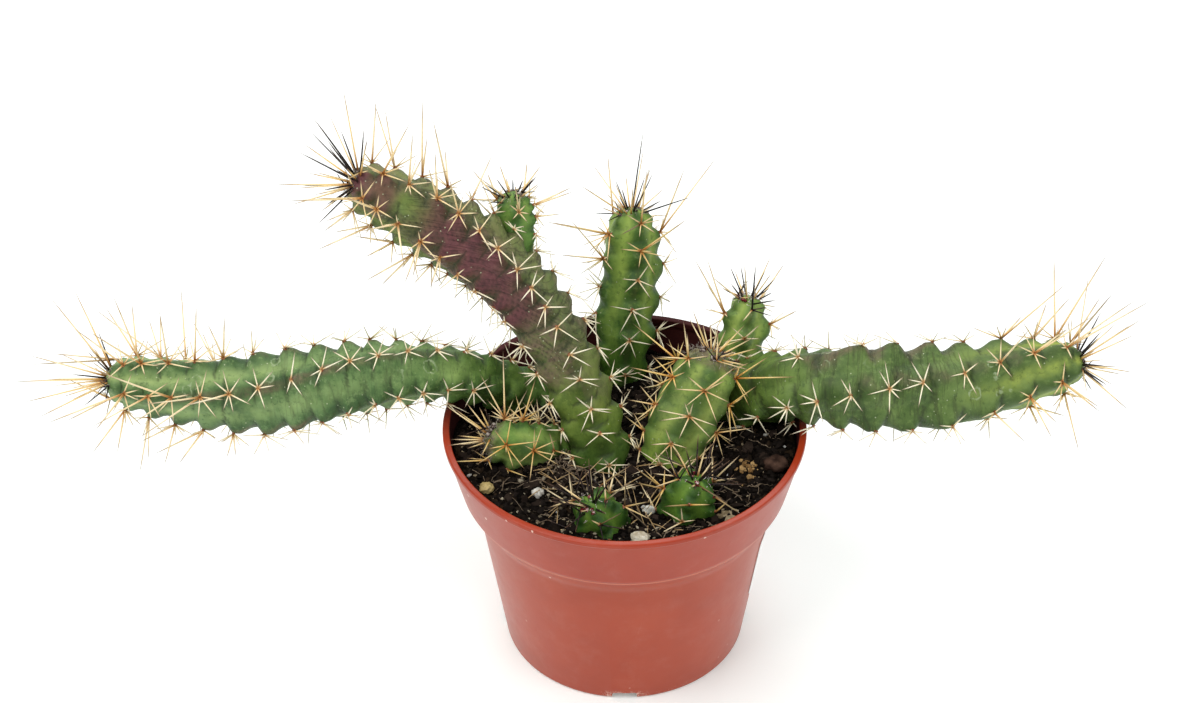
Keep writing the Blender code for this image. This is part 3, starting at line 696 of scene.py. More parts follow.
def skin_material(name, dark, middle, light, pale, band_from, band_to, marks):
    n = Nodes(name + "_skin")
    age = n.attribute("age")
    way = n.attribute("way")
    broad = n.noise(15 * MM, 5, 0.62)
    fine = n.noise(2.2 * MM, 5, 0.68)
    colour = n.ramp(broad, [(0.32, dark), (0.50, middle), (0.72, light)])
    # pale band along the middle of the flanks, strongest where they are young: partly paler skin, partly a
    # painted highlight
    band = n.times(n.band(way, 0.30, 0.95), n.band(age, band_from, band_to),
                   n.band(n.noise(8 * MM, 3, 0.6), 0.25, 0.60))
    colour = n.tint(colour, band, 0.85, pale)
    colour = n.tint(colour, n.band(way, 0.50, 0.05), 0.45, dark)
    colour = n.tint(colour, n.band(fine, 0.52, 0.66), 0.50, light)
    colour = n.tint(colour, n.band(fine, 0.47, 0.32), 0.55, dark)
    # yellower at the root, and darker just above the soil: partly grime, partly painted shade
    colour = n.tint(colour, n.band(age, 0.48, 0.18), 0.8, (1.12, 1.14, 0.52), "MULTIPLY")
    colour = n.tint(colour, n.band(n.axis("Z"), 101 * MM, 85 * MM), FOOT_SHADE.get(name, 0.0),
                    (0.38, 0.55, 0.62), "MULTIPLY")
    # stains
    streak = n.noise(5 * MM, 6, 0.72, distortion=1.2)
    brown = n.times(n.attribute("brown"), n.band(streak, 0.25, 0.62))
    colour = n.mix(brown, colour, n.ramp(fine, [(0.32, DARK_BROWN), (0.68, BROWN)]))
    purple = n.times(n.attribute("purple"), n.band(streak, -0.15, 0.38))
    colour = n.mix(purple, colour, n.ramp(fine, [(0.18, DEEP_PURPLE), (0.55, PURPLE), (0.85, PALE_PURPLE)]))
    # painted shade: dark lines in the creases and in fine folds that run round the stem, and darker hollows
    broken, fold_detail, fold_bend = FINE_FOLDS.get(name, (1.6, 3.0, 0.0))
    round_at = n.add("ShaderNodeCombineXYZ", {
        "X": n.attribute("fold_at"), "Y": n.times(n.attribute("cosine"), broken),
        "Z": n.times(n.attribute("sine"), broken)}).outputs[0]
    fold = n.noise(2.6, fold_detail, 0.55, vector=round_at, distortion=fold_bend)
    fold = n.math("ABSOLUTE", n.math("SUBTRACT", fold, 0.5))
    fold = n.times(n.band(fold, 0.030, 0.0), n.attribute("shrunk"))
    colour = n.tint(colour, n.attribute("crease"), 0.80, (0.018, 0.018, 0.010))
    colour = n.tint(colour, n.attribute("line"), 0.68, (0.024, 0.018, 0.012))
    colour = n.tint(colour, fold, 0.42, (0.028, 0.022, 0.016))
    colour = n.tint(colour, n.attribute("dip"), 0.45, dark)
    # dried water marks: thin pale rings, and tiny pale dots
    spots = n.cells(9 * MM, n.warped(1.6 * MM, 4 * MM)).outputs["Distance"]
    ring = n.band(n.math("ABSOLUTE", n.math("SUBTRACT", spots, 0.22)), 0.05, 0.01)
    ring = n.times(ring, n.band(n.noise(22 * MM, 2), 0.46, 0.58), n.band(n.noise(1.5 * MM, 2), 0.35, 0.6))
    colour = n.tint(colour, ring, marks, (0.36, 0.44, 0.26))
    dots = n.band(n.cells(2.2 * MM).outputs["Distance"], 0.14, 0.07)
    dots = n.times(dots, n.band(n.noise(5 * MM, 1), 0.46, 0.54))
    colour = n.tint(colour, dots, 0.75, (0.46, 0.52, 0.32))
    relief = n.bump(n.noise(0.45 * MM, 3, 0.6), 0.05 * MM, 0.6)
    relief = n.bump(streak, 0.35 * MM, 0.6, relief)
    relief = n.bump(n.math("SUBTRACT", 1.0, fold), 0.25 * MM, 0.7, relief)
    return n.finish(colour, n.between(fine, 0.38, 0.60), relief, Specular_IOR_Level=0.20)


def make_skin(stem):
    buried = 8 * MM
    cap = TIP_LENGTH * stem.radii[-1]
    straight = stem.length - cap
    corners = int(round(math.tau * stem.radii.max() / SKIN_EDGE / 4)) * 4
    rounding = straight + cap * np.sin(np.linspace(0, math.pi / 2, 26)[:-1])
    along = np.concatenate([[0.0, buried / 2], np.arange(buried, straight, SKIN_STEP), rounding])
    angle = np.linspace(0, math.tau, corners, endpoint=False)
    points, values, low, share = stem.skin(along[:, None], angle[None, :])
    spread = np.broadcast_to(along[:, None], points.shape[:2])
    values["purple"], values["brown"] = stains(stem, values, low, share, points, spread)
    ends = stem.frames(np.array([0.0, stem.length]))[0]
    verts = np.concatenate([points.reshape(-1, 3), ends])
    flat = {key: np.append(value, [0, key == "age"]) for key, value in values.items()}
    material = skin_material(stem.name, *SKINS[stem.name])
    skin = make_object(stem.name + "_skin", verts, tube_faces(len(along), corners), material, flat)
    return stand_for(skin, stem.name)


# ---- spines ----
SPINE_SIDES = 5
SPINE_RINGS = 4
RADIALS = [
    # degrees from the tipward direction, share of full length, chance of being there
    (18, 0.52, 0.30), (-42, 0.70, 0.78), (64, 0.84, 0.85), (-92, 0.98, 0.94),
    (112, 1.00, 0.96), (-140, 1.00, 0.94), (163, 0.92, 0.76),
]
SPINE_SIZES = {
    # radial length mm near the root and near the tip, golden share near the tip
    "left_stem": (8.5, 11.0, 0.50),
    "right_stem": (8.3, 10.2, 0.55),
    "leaning_stem": (8.2, 9.8, 0.55),
    "side_branch": (4.8, 5.8, 0.50),
    "upright_stem": (9.0, 11.0, 0.70),
    "right_back_stem": (8.0, 9.0, 0.70),
    "front_right_stem": (9.5, 12.5, 0.95),
    "lying_stem": (11.0, 14.0, 1.00),
    "left_pup": (13.0, 13.0, 1.00),
    "right_pup": (13.0, 13.0, 1.00),
}
TUFTS = {
    # spines of the growing point: dark ones and their lengths in mm, golden ones and theirs, spread
    "left_stem": (8, 7, 16, 15, 14, 36, 1.15),
    "right_stem": (11, 8, 21, 11, 10, 28, 1.25),
    "leaning_stem": (14, 9, 26, 14, 10, 28, 1.25),
    "side_branch": (11, 5, 11, 5, 6, 13, 1.10),
    "upright_stem": (9, 8, 29, 9, 8, 26, 1.20),
    "right_back_stem": (9, 6, 16, 5, 8, 18, 1.25),
    "front_right_stem": (4, 5, 9, 13, 8, 19, 1.40),
    "lying_stem": (2, 5, 9, 12, 9, 23, 1.40),
    "left_pup": (15, 8, 16, 4, 8, 14, 1.05),
    "right_pup": (15, 8, 16, 4, 8, 14, 1.05),
}
FIRST_AREOLE = 6 * MM        # nothing grows nearer to the root or to the tip than these
LAST_AREOLE = 0.3 * MM
PAD_SIZE = (0.62, 0.85)      # radius of an areole's felt, mm
PAD_SINK = 0.20 * MM
SPINE_FOOT = 0.10 * MM       # height of the spines' feet above the skin
RADIAL_TURN = (-20, 20)      # degrees off a radial spine's even place, and off the skin
RADIAL_LIFT = (10, 34)
RADIAL_LENGTH = (0.66, 1.12)
CENTRAL_TILT = (-15, 60)     # degrees from upright towards the tip
CENTRAL_LENGTH = (0.75, 1.15)
BALD_SHARE = 0.6             # spines lost from a bald foot
YOUNG_RUN = 6 * MM           # skin at the tip with young areoles, twice as long on a pup
GROWN = 0.6                  # an areole younger than this has no central spines yet
RADIAL_WIDTH = (0.46, 0.62)  # of spines at the foot, mm
CENTRAL_WIDTH = (0.56, 0.72)
TUFT_WIDTH = (0.58, 0.76)
PUP_WIDTH = 1.12             # a pup's spines are this much thicker


def make_spines(name, table, material):
    """Tapered, slightly bent cones as one mesh."""
    feet, ways, lengths, widths, bends, young, gold = table
    helper = np.where(np.abs(ways[:, 2:]) < 0.9, [[0.0, 0.0, 1.0]], [[1.0, 0.0, 0.0]])
    across = unit(np.cross(ways, helper))
    third = np.cross(ways, across)
    share = np.linspace(0, 1, SPINE_RINGS + 1)[:-1]
    taper = (1 - share) ** 0.50 * 0.90 + 0.10
    run = feet[:, None] + ways[:, None] * (lengths[:, None] * share)[..., None]
    run = run + bends[:, None] * (share ** 2)[None, :, None]
    tips = feet + ways * lengths[:, None] + bends
    parts = tube_points(run, widths[:, None] / 2 * taper[None], across[:, None], third[:, None],
                        SPINE_SIDES, feet, tips)
    reach = np.concatenate([np.repeat(share, SPINE_SIDES), [0.0, 1.0]])
    values = dict(reach=reach, young=young[:, None], gold=gold[:, None])
    return joined(name, parts, tube_faces(SPINE_RINGS, SPINE_SIDES), material, values)


def spine_material():
    n = Nodes("spine")
    reach = n.attribute("reach")
    old = n.ramp(reach, [(0.0, (0.30, 0.10, 0.035)), (0.08, (0.66, 0.42, 0.18)), (0.22, (0.94, 0.86, 0.62)),
                         (0.60, (0.95, 0.89, 0.70)), (0.82, (0.54, 0.44, 0.31)), (1.0, (0.11, 0.08, 0.06))])
    golden = n.ramp(reach, [(0.0, (0.24, 0.07, 0.02)), (0.08, (0.62, 0.26, 0.05)),
                            (0.28, (0.84, 0.54, 0.16)), (0.60, (0.84, 0.62, 0.26)),
                            (0.80, (0.44, 0.28, 0.13)), (1.0, (0.09, 0.055, 0.04))])
    dark = n.ramp(reach, [(0.0, (0.006, 0.004, 0.005)), (0.60, (0.016, 0.008, 0.008)),
                          (0.85, (0.07, 0.035, 0.020)), (1.0, (0.28, 0.16, 0.08))])
    colour = n.mix(n.attribute("gold"), old, golden)
    colour = n.mix(n.band(n.attribute("young"), 0.30, 0.70), colour, dark)
    colour = n.tint(colour, n.band(n.noise(0.8 * MM, 3, 0.6), 0.5, 0.8), 0.2, (0.40, 0.28, 0.16))
    return n.finish(colour, 0.42, Specular_IOR_Level=0.24)


def grow_areoles(stem, rng, spines, pads):
    """Felt pads and spines at every areole above the soil."""
    root_size, tip_size, gold_share = SPINE_SIZES[stem.name]
    for j, row in enumerate(stem.rows):
        for along in row:
            if along > stem.length - LAST_AREOLE or along < FIRST_AREOLE:
                continue
            if along < BALD_FOOT.get(stem.name, 0) * MM and rng.random() < BALD_SHARE:
                continue
            angle = float(stem.first_rib(np.array(along))) + stem.rib_at[j]
            point, normal, tipward = stem.normal(along, angle)
            across = np.cross(normal, tipward)
            age = along / stem.length
            young = clipped(1 - (stem.length - along) / (YOUNG_RUN * (2 if stem.pup else 1)))
            radius = rng.uniform(*PAD_SIZE) * MM * (1 - 0.2 * young)
            pads.append((point - normal * PAD_SINK, normal, tipward, radius, young))
            foot = point + normal * SPINE_FOOT
            size = (root_size + (tip_size - root_size) * smooth_step(age)) * MM
            mirror = rng.choice((-1, 1))
            gold = clipped(gold_share * smooth_step((age - 0.60) / 0.25) + rng.uniform(-0.1, 0.15))
            if stem.low:
                gold = rng.uniform(0.10, 0.75) + 0.35 * smooth_step((age - 0.3) / 0.4)
            for turn, share, chance in RADIALS:
                missing = rng.random() > chance + 0.15 * stem.low - 0.15 * stem.pup
                if missing or (young > 0.5 and rng.random() < 0.5):
                    continue
                turn = math.radians(mirror * turn + rng.uniform(*RADIAL_TURN))
                lift = math.radians(rng.uniform(*RADIAL_LIFT) + 14 * young)
                way = math.cos(turn) * tipward + math.sin(turn) * across
                way = math.cos(lift) * way + math.sin(lift) * normal
                length = size * share * rng.uniform(*RADIAL_LENGTH)
                bend = normal * length * rng.uniform(-0.04, 0.03)
                dark = clipped(young * rng.uniform(0.3, 1.6))
                width = rng.uniform(*RADIAL_WIDTH) * (PUP_WIDTH if stem.pup else 1.0) * MM
                spines.append((foot, unit(way), length, width, bend, dark, gold))
            # up to two central spines, long ones near the tip
            grown = young < GROWN
            long_zone = smooth_step((age - 0.66) / 0.15) * (0.35 if stem.low else 1.0)
            often = (0.65 if stem.low else 0.30) * grown
            chances = (often + 0.65 * long_zone * grown, 0.75 * long_zone * grown)
            for _ in range(sum(rng.random() < chance for chance in chances)):
                tilt = math.radians(rng.uniform(*CENTRAL_TILT))
                way = math.cos(tilt) * normal + math.sin(tilt) * (tipward + rng.uniform(-0.8, 0.8) * across)
                length = size * rng.uniform(*CENTRAL_LENGTH) * (1 + 1.8 * long_zone * rng.uniform(0.3, 1.2))
                length *= 0.65 if normal[2] < -0.2 else 1.0
                dark = clipped(young * rng.uniform(0.3, 1.6))
                bend = across * length * rng.uniform(-0.03, 0.03)
                width = rng.uniform(*CENTRAL_WIDTH) * (1 + 0.20 * long_zone) * MM
                spines.append((foot, unit(way), length, width, bend, dark, gold))


def grow_tuft(stem, rng, spines, pads):
    """Felt and young spines round the growing point."""
    dark_count, dark_short, dark_long, gold_count, gold_short, gold_long, spread = TUFTS[stem.name]
    for _ in range(7 if stem.bare else 5):
        turn = rng.uniform(0, math.tau)
        along = stem.length - rng.uniform(0.15, 1.6 if stem.bare else 0.9) * MM
        point, normal, tipward = stem.normal(along, turn)
        size = rng.uniform(1.0, 1.6) if stem.bare else rng.uniform(0.6, 0.9)
        pads.append((point, normal, tipward, size * MM, 1.0))
    centre, ahead, side, other = (part[0] for part in stem.frames(np.array([stem.length - 0.4 * MM])))
    count = dark_count + gold_count
    for k in range(count):
        # three rounds, dark spines first
        turn = math.tau * (k + rng.uniform(0, 0.8)) / count * 3
        out = spread * rng.uniform(0.1, 1.0) ** 0.7
        sideways = math.cos(turn) * side + math.sin(turn) * other
        foot = centre + sideways * out * 3.2 * MM - ahead * out * 1.0 * MM
        way = ahead + math.tan(min(out, 1.35)) * sideways
        dark = k < dark_count
        shortest, longest = (dark_short, dark_long) if dark else (gold_short, gold_long)
        length = (shortest + (longest - shortest) * rng.random() ** (1.4 if dark else 1.1)) * MM
        bend = sideways * length * rng.uniform(-0.03, 0.03)
        width = rng.uniform(*TUFT_WIDTH) * (PUP_WIDTH if stem.pup else 1.0) * MM
        spines.append((foot, unit(way), length, width, bend, float(dark), rng.uniform(0.5, 0.95)))


def keep_clear(stem, feet, ways, lengths, stems):
    """Which spines stay: those that don't end inside a stem, the pot or the soil."""
    run = ways * lengths[:, None]
    keep = np.ones(len(feet), bool)
    for other in stems:
        own = other is stem
        for share in (0.7, 1.0) if own else (0.0, 0.35, 0.7, 1.0):
            keep &= ~inside_stem(other, feet + run * share, 0.80 if own else 0.90)
    for share in (0.0, 0.5, 1.0):
        at = feet + run * share
        out = np.hypot(at[:, 0], at[:, 1])
        height = at[:, 2]
        buried = height < soil_level(at[:, 1]) - (1.5 * MM if share else 0.0)
        keep &= ~((out < SOIL_REACH) & buried)
        keep &= ~((out > INSIDE_RIM) & (out < OUTSIDE_RIM) & (height < POT_HEIGHT + 0.3 * MM))
        keep &= ~((out <= INSIDE_RIM) & (height < LOWEST_SPINE))
    # nothing grows back in through the wall; out and height are now those of the ends
    starts_out = np.hypot(feet[:, 0], feet[:, 1]) > OUTSIDE_POT
    return keep & ~(starts_out & (out < OUTSIDE_RIM) & (height < POT_HEIGHT))


# ---- felt and wool ----
def felt_material(name, tuft):
    n = Nodes(name)
    fuzz = n.noise(0.35 * MM, 4, 0.7)
    old = n.ramp(fuzz, [
        (0.25, (0.08, 0.022, 0.012)), (0.50, (0.27, 0.085, 0.038)), (0.72, (0.62, 0.40, 0.26))])
    wool = n.ramp(n.noise(1.1 * MM, 4, 0.7), tuft)
    colour = n.mix(n.band(n.attribute("young"), 0.25, 0.8), old, wool)
    return n.finish(colour, 0.95, n.bump(fuzz, 0.25 * MM, 0.9), Specular_IOR_Level=0.15)


def hair_material(name, dark, light):
    n = Nodes(name)
    colour = n.mix(n.band(n.noise(1.6 * MM, 3, 0.6), 0.35, 0.65), dark, light)
    return n.finish(colour, 0.8, n.bump(n.noise(0.2 * MM, 2), 0.02 * MM, 0.5), Specular_IOR_Level=0.2)


def make_pads(stem, pads, material, rng, stems):
    """Each areole's felt: a low cushion with a rough outline."""
    base, faces = ball(2)
    parts, ages = [], []
    for point, normal, tipward, radius, young in pads:
        covered = point[2] < soil_level(point[1]) - 0.5 * MM
        if math.hypot(point[0], point[1]) < SOIL_REACH and covered:
            continue
        if inside_any(stems, point, 0.93, but=stem):
            continue
        across = np.cross(normal, tipward)
        jitter = 1 + 0.22 * np.array([rng.gauss(0, 1) for _ in base]).clip(-1.5, 1.5)
        x, y, z = (base * jitter[:, None] * radius).T[..., None]
        parts.append(point + x * tipward * 0.9 + y * across + z * normal * 0.6)
        ages.append(young)
    return joined(stem.name + "_areoles", parts, faces, material, dict(young=np.array(ages)[:, None]))


def make_wool(stem, rng, material):
    """Curly hairs of the wool round the growing point."""
    count, reach, longest = (110, 4.5, 0.75) if stem.bare else (16 if stem.pup else 45, 1.8, 0.5)
    paths, radii = [], []
    for _ in range(count):
        along = stem.length - rng.uniform(0.0, reach) * MM
        point, normal, tipward = stem.normal(along, rng.uniform(0, math.tau))
        across = np.cross(normal, tipward)
        heading = 0.5 * normal + rng.uniform(-1, 1) * tipward + rng.uniform(-1, 1) * across
        step = rng.uniform(0.35, longest) * MM
        path = [point + 0.1 * MM * normal]
        for _ in range(5):
            curl = np.array([rng.uniform(-1, 1) for _ in range(3)])
            heading = unit(heading + 0.9 * curl + 0.1 * normal)
            path.append(path[-1] + heading * step)
        paths.append(path)
        radii.append(rng.uniform(0.06, 0.11) * MM)
    return thread_mesh(stem.name + "_wool", paths, radii, material, sides=4)


def thread_mesh(name, paths, radii, material, sides=5):
    """Thin tubes along paths, as one mesh."""
    verts, faces = [], []
    start = 0
    for path, radius in zip(paths, radii):
        path = np.asarray(path)
        ahead = unit(np.gradient(path, axis=0))
        up = unit(np.cross(ahead, [0.31, 0.17, 0.93]))
        width = radius * (1 - 0.7 * np.linspace(0, 1, len(path)) ** 2)
        verts.append(tube_points(path, width, up, np.cross(ahead, up), sides, path[0], path[-1]))
        faces += tube_faces(len(path), sides, start)
        start += len(verts[-1])
    return make_object(name, np.concatenate(verts), faces, material)


# ---- pot ----
def wall_radius(height):
    return BASE_RADIUS + (NECK_RADIUS - BASE_RADIUS) * height / NECK_HEIGHT


def band_radius(height):
    return BAND_RADIUS + (RIM_RADIUS - BAND_RADIUS) * (height - BAND_HEIGHT) / (POT_HEIGHT - BAND_HEIGHT)


def rounded(points, radii, arc=5):
    """An open line with its corners rounded."""
    points = np.array(points, float)
    result = [points[0]]
    for before, corner, after, radius in zip(points, points[1:], points[2:], radii[1:]):
        one = before - corner
        two = after - corner
        trim = min(radius, 0.45 * np.linalg.norm(one), 0.45 * np.linalg.norm(two))
        start = corner + unit(one) * trim
        end = corner + unit(two) * trim
        for t in np.linspace(0, 1, arc):
            result.append((1 - t) ** 2 * start + 2 * t * (1 - t) * corner + t ** 2 * end)
    result.append(points[-1])
    return np.array(result)


def pot_profile():
    """Half section of the pot from the axis inside, over the lip, to the axis outside."""
    raised = MOAT_RISE + FLOOR
    lip_under = POT_HEIGHT - LIP_DEPTH
    lip_inside = RIM_RADIUS - LIP_WIDTH
    slope = (BAND_RADIUS - NECK_RADIUS) / (BAND_HEIGHT - NECK_HEIGHT)
    seam = NECK_RADIUS + slope * (SEAM_HEIGHT - NECK_HEIGHT)
    # radius, height and rounding in mm of each corner
    corners = [
        (0.0, FLOOR, 0), (PAD_RADIUS - 1.8 * MM, FLOOR, 0.5), (PAD_RADIUS - 0.8 * MM, raised, 0.5),
        (wall_radius(raised) - WALL, raised, 0.8), (NECK_RADIUS - WALL, NECK_HEIGHT, 2.0),
        (BAND_RADIUS - WALL, BAND_HEIGHT, 2.0),
        (band_radius(lip_under) - WALL, lip_under - (LIP_WIDTH - WALL), 0.5),
        (lip_inside, lip_under, 0.4), (lip_inside, POT_HEIGHT, 0.6), (RIM_RADIUS, POT_HEIGHT, 0.6),
        (RIM_RADIUS, LIP_EDGE, 0.3), (band_radius(LIP_ROOT) - 0.1 * MM, LIP_ROOT, 0.3),
        (BAND_RADIUS, BAND_HEIGHT, 1.5), (seam + 0.16 * MM, SEAM_HEIGHT + 0.25 * MM, 0.1),
        (seam + 0.20 * MM, SEAM_HEIGHT, 0.1), (seam - 0.18 * MM, SEAM_HEIGHT - 0.30 * MM, 0.2),
        (NECK_RADIUS, NECK_HEIGHT, 2.0),
        (BASE_RADIUS + 0.1 * MM, 0.6 * MM, 0.5), (BASE_RADIUS - 0.5 * MM, 0.0, 0.4),
        (BASE_RADIUS - 1.7 * MM, 0.0, 0.3), (BASE_RADIUS - 1.7 * MM, MOAT_RISE, 0.4),
        (PAD_RADIUS + 1.0 * MM, MOAT_RISE, 0.5), (PAD_RADIUS, 0.0, 0.4), (0.0, 0.0, 0),
    ]
    return rounded([corner[:2] for corner in corners], [corner[2] * MM for corner in corners])


def pot_material():
    n = Nodes("terracotta_plastic")
    height = n.axis("Z")
    # inside: where painted shade darkens the pot, on the inside and on the lip at the back
    inside = n.attribute("inside")
    outside = n.math("SUBTRACT", 1.0, inside)
    colour = n.ramp(n.noise(26 * MM, 4, 0.6), [
        (0.30, (0.345, 0.041, 0.011)), (0.55, (0.378, 0.048, 0.014)), (0.80, (0.410, 0.060, 0.020))])
    # painted shade: the band is darker and a little redder than the wall, where it catches less light
    colour = n.mix(n.band(height, 60 * MM, 70 * MM), colour, (0.95, 0.72, 0.55), "MULTIPLY")
    # painted shade darkens the inside and the lip at the back, and a painted highlight runs along the
    # moulding line under the band
    colour = n.tint(colour, inside, 0.96, (0.040, 0.003, 0.004))
    colour = n.tint(colour, n.attribute("seam"), 0.70, (0.70, 0.30, 0.21))
    # short pale scratches, and wear round the foot
    scuff = n.noise(3.0 * MM, 6, 0.75, vector=n.stretched((1.0, 1.0, 0.22)), distortion=0.8)
    scuff = n.times(n.band(scuff, 0.62, 0.78), n.band(n.noise(38 * MM, 2), 0.50, 0.72))
    foot = n.times(n.band(height, 3.5 * MM, 0.5 * MM), n.band(n.noise(0.8 * MM, 4, 0.7), 0.56, 0.64),
                   n.band(n.noise(16 * MM, 1), 0.45, 0.60))
    scuff = n.times(n.math("MAXIMUM", scuff, n.times(foot, 1.8)), outside)
    colour = n.tint(colour, scuff, 0.40, (0.60, 0.30, 0.23))
    # chalky flecks, and more of them at the notches, which are where X or Y is near 0
    sides = [n.math("ABSOLUTE", n.axis(name)) for name in "XY"]
    notch = n.times(n.band(n.math("MINIMUM", *sides), 9 * MM, 4 * MM), n.band(height, 4.5 * MM, 1.5 * MM),
                    n.band(n.noise(1.1 * MM, 3, 0.6, distortion=1.5), 0.50, 0.56))
    flecks = n.cells(8 * MM, n.warped(0.5 * MM, 1.2 * MM)).outputs["Distance"]
    flecks = n.times(n.band(flecks, 0.064, 0.040), n.band(n.noise(30 * MM, 1), 0.34, 0.44),
                     n.math("MAXIMUM", n.band(height, 42 * MM, 60 * MM), 0.25))
    flecks = n.times(n.math("MAXIMUM", flecks, notch), outside)
    colour = n.tint(colour, flecks, 0.85, (0.80, 0.62, 0.52))
    dust = n.times(n.band(n.noise(9 * MM, 5, 0.7), 0.45, 0.85), outside)
    colour = n.tint(colour, dust, 0.10, (0.60, 0.34, 0.27))
    roughness = n.math("ADD", n.between(n.noise(5 * MM, 4, 0.65), 0.26, 0.40), n.times(scuff, 0.25))
    roughness = n.math("ADD", roughness, n.times(inside, 0.45))
    relief = n.bump(n.noise(0.9 * MM, 3, 0.6), 0.02 * MM, 0.5)
    relief = n.bump(n.noise(7 * MM, 2), 0.10 * MM, 0.35, relief)
    return n.finish(colour, roughness, relief, Specular_IOR_Level=0.36)


def make_pot():
    profile = pot_profile()
    inner = profile[1:-1]
    angle = np.linspace(0, math.tau, POT_SIDES, endpoint=False)
    x = inner[:, :1] * np.cos(angle)
    y = inner[:, :1] * np.sin(angle)
    z = np.broadcast_to(inner[:, 1:], x.shape)
    ends = [(0, 0, profile[0][1]), (0, 0, profile[-1][1])]
    verts = np.concatenate([np.stack([x, y, z], axis=-1).reshape(-1, 3), ends])
    faces = [face[::-1] for face in tube_faces(len(inner), POT_SIDES)]
    number = np.arange(len(inner))
    rising = int(np.argmax(inner[:, 1]))
    # the painted shade of the inside spreads over the lip at the back
    lip = (number >= rising - 2) & (inner[:, 1] > POT_HEIGHT - 0.8 * MM)
    back_lip_shade = smooth_step((np.sin(angle) + 0.20) / 0.5)
    inside = np.where(number < rising - 2, 1.0, 0.0)[:, None] + lip[:, None] * back_lip_shade
    # points at the moulding line, where a pale line is painted as a highlight
    seam_highlight = (np.abs(inner[:, 1] - SEAM_HEIGHT) < 0.26 * MM) & (number > rising)
    values = dict(inside=np.append(inside, [1, 0]), seam=np.append(np.repeat(seam_highlight, POT_SIDES), [0, 0]))
    pot = make_object("pot_shell", verts, faces, pot_material(), values)
    cutters = []
    middle = (PAD_RADIUS + BASE_RADIUS) / 2
    for i in range(DRAIN_HOLES):
        bm = bmesh.new()
        bmesh.ops.create_cone(bm, cap_ends=True, segments=40, radius1=DRAIN_RADIUS, radius2=DRAIN_RADIUS,
                              depth=4 * FLOOR)
        turn = math.tau * (i + 0.5) / DRAIN_HOLES
        at = (middle * math.cos(turn), middle * math.sin(turn), MOAT_RISE + FLOOR / 2)
        cutters.append(cutter("drain", bm, Matrix.Translation(at)))
    for i in range(FOOT_NOTCHES):
        bm = bmesh.new()
        bmesh.ops.create_cube(bm, size=1.0)
        bmesh.ops.scale(bm, vec=(NOTCH_DEPTH, NOTCH_WIDTH, 2 * NOTCH_HEIGHT), verts=bm.verts)
        across = [edge for edge in bm.edges if abs(edge.verts[0].co.x - edge.verts[1].co.x) > 1 * MM]
        bmesh.ops.bevel(bm, geom=across, offset=NOTCH_ROUNDING, segments=4, affect="EDGES", profile=0.5)
        turned = Matrix.Rotation(math.tau * i / FOOT_NOTCHES, 4, "Z")
        cutters.append(cutter("notch", bm, turned @ Matrix.Translation((BASE_RADIUS, 0, 0))))
    carve(pot, cutters)
    return stand_for(pot, "pot")


def cutter(name, bm, place):
    bmesh.ops.transform(bm, matrix=place, verts=bm.verts)
    bmesh.ops.recalc_face_normals(bm, faces=bm.faces)
    mesh = bpy.data.meshes.new(name)
    bm.to_mesh(mesh)
    bm.free()
    return placed(name, mesh)


def carve(thing, cutters):
    """Cuts the shapes out for good and removes the cutters."""
    for shape in cutters:
        boolean = thing.modifiers.new("cut", "BOOLEAN")
        boolean.operation = "DIFFERENCE"
        boolean.solver = "EXACT"
        boolean.object = shape
    evaluated = thing.evaluated_get(bpy.context.evaluated_depsgraph_get())
    mesh = bpy.data.meshes.new_from_object(evaluated)
    thing.modifiers.clear()
    thing.data = mesh
    mesh.shade_smooth()
    mesh.set_sharp_from_angle(angle=SHARP)
    for shape in cutters:
        bpy.data.objects.remove(shape, do_unlink=True)


def label_material():
    n = Nodes("blank_label")
    colour = n.ramp(n.noise(12 * MM, 4, 0.6), [(0.3, (0.90, 0.90, 0.89)), (0.7, (0.95, 0.95, 0.94))])
    colour = n.tint(colour, n.band(n.noise(7 * MM, 5, 0.7), 0.58, 0.80), 0.15, (0.50, 0.42, 0.36))
    return n.finish(colour, 0.55, n.bump(n.noise(0.5 * MM, 4, 0.6), 0.02 * MM, 0.5), Specular_IOR_Level=0.4)


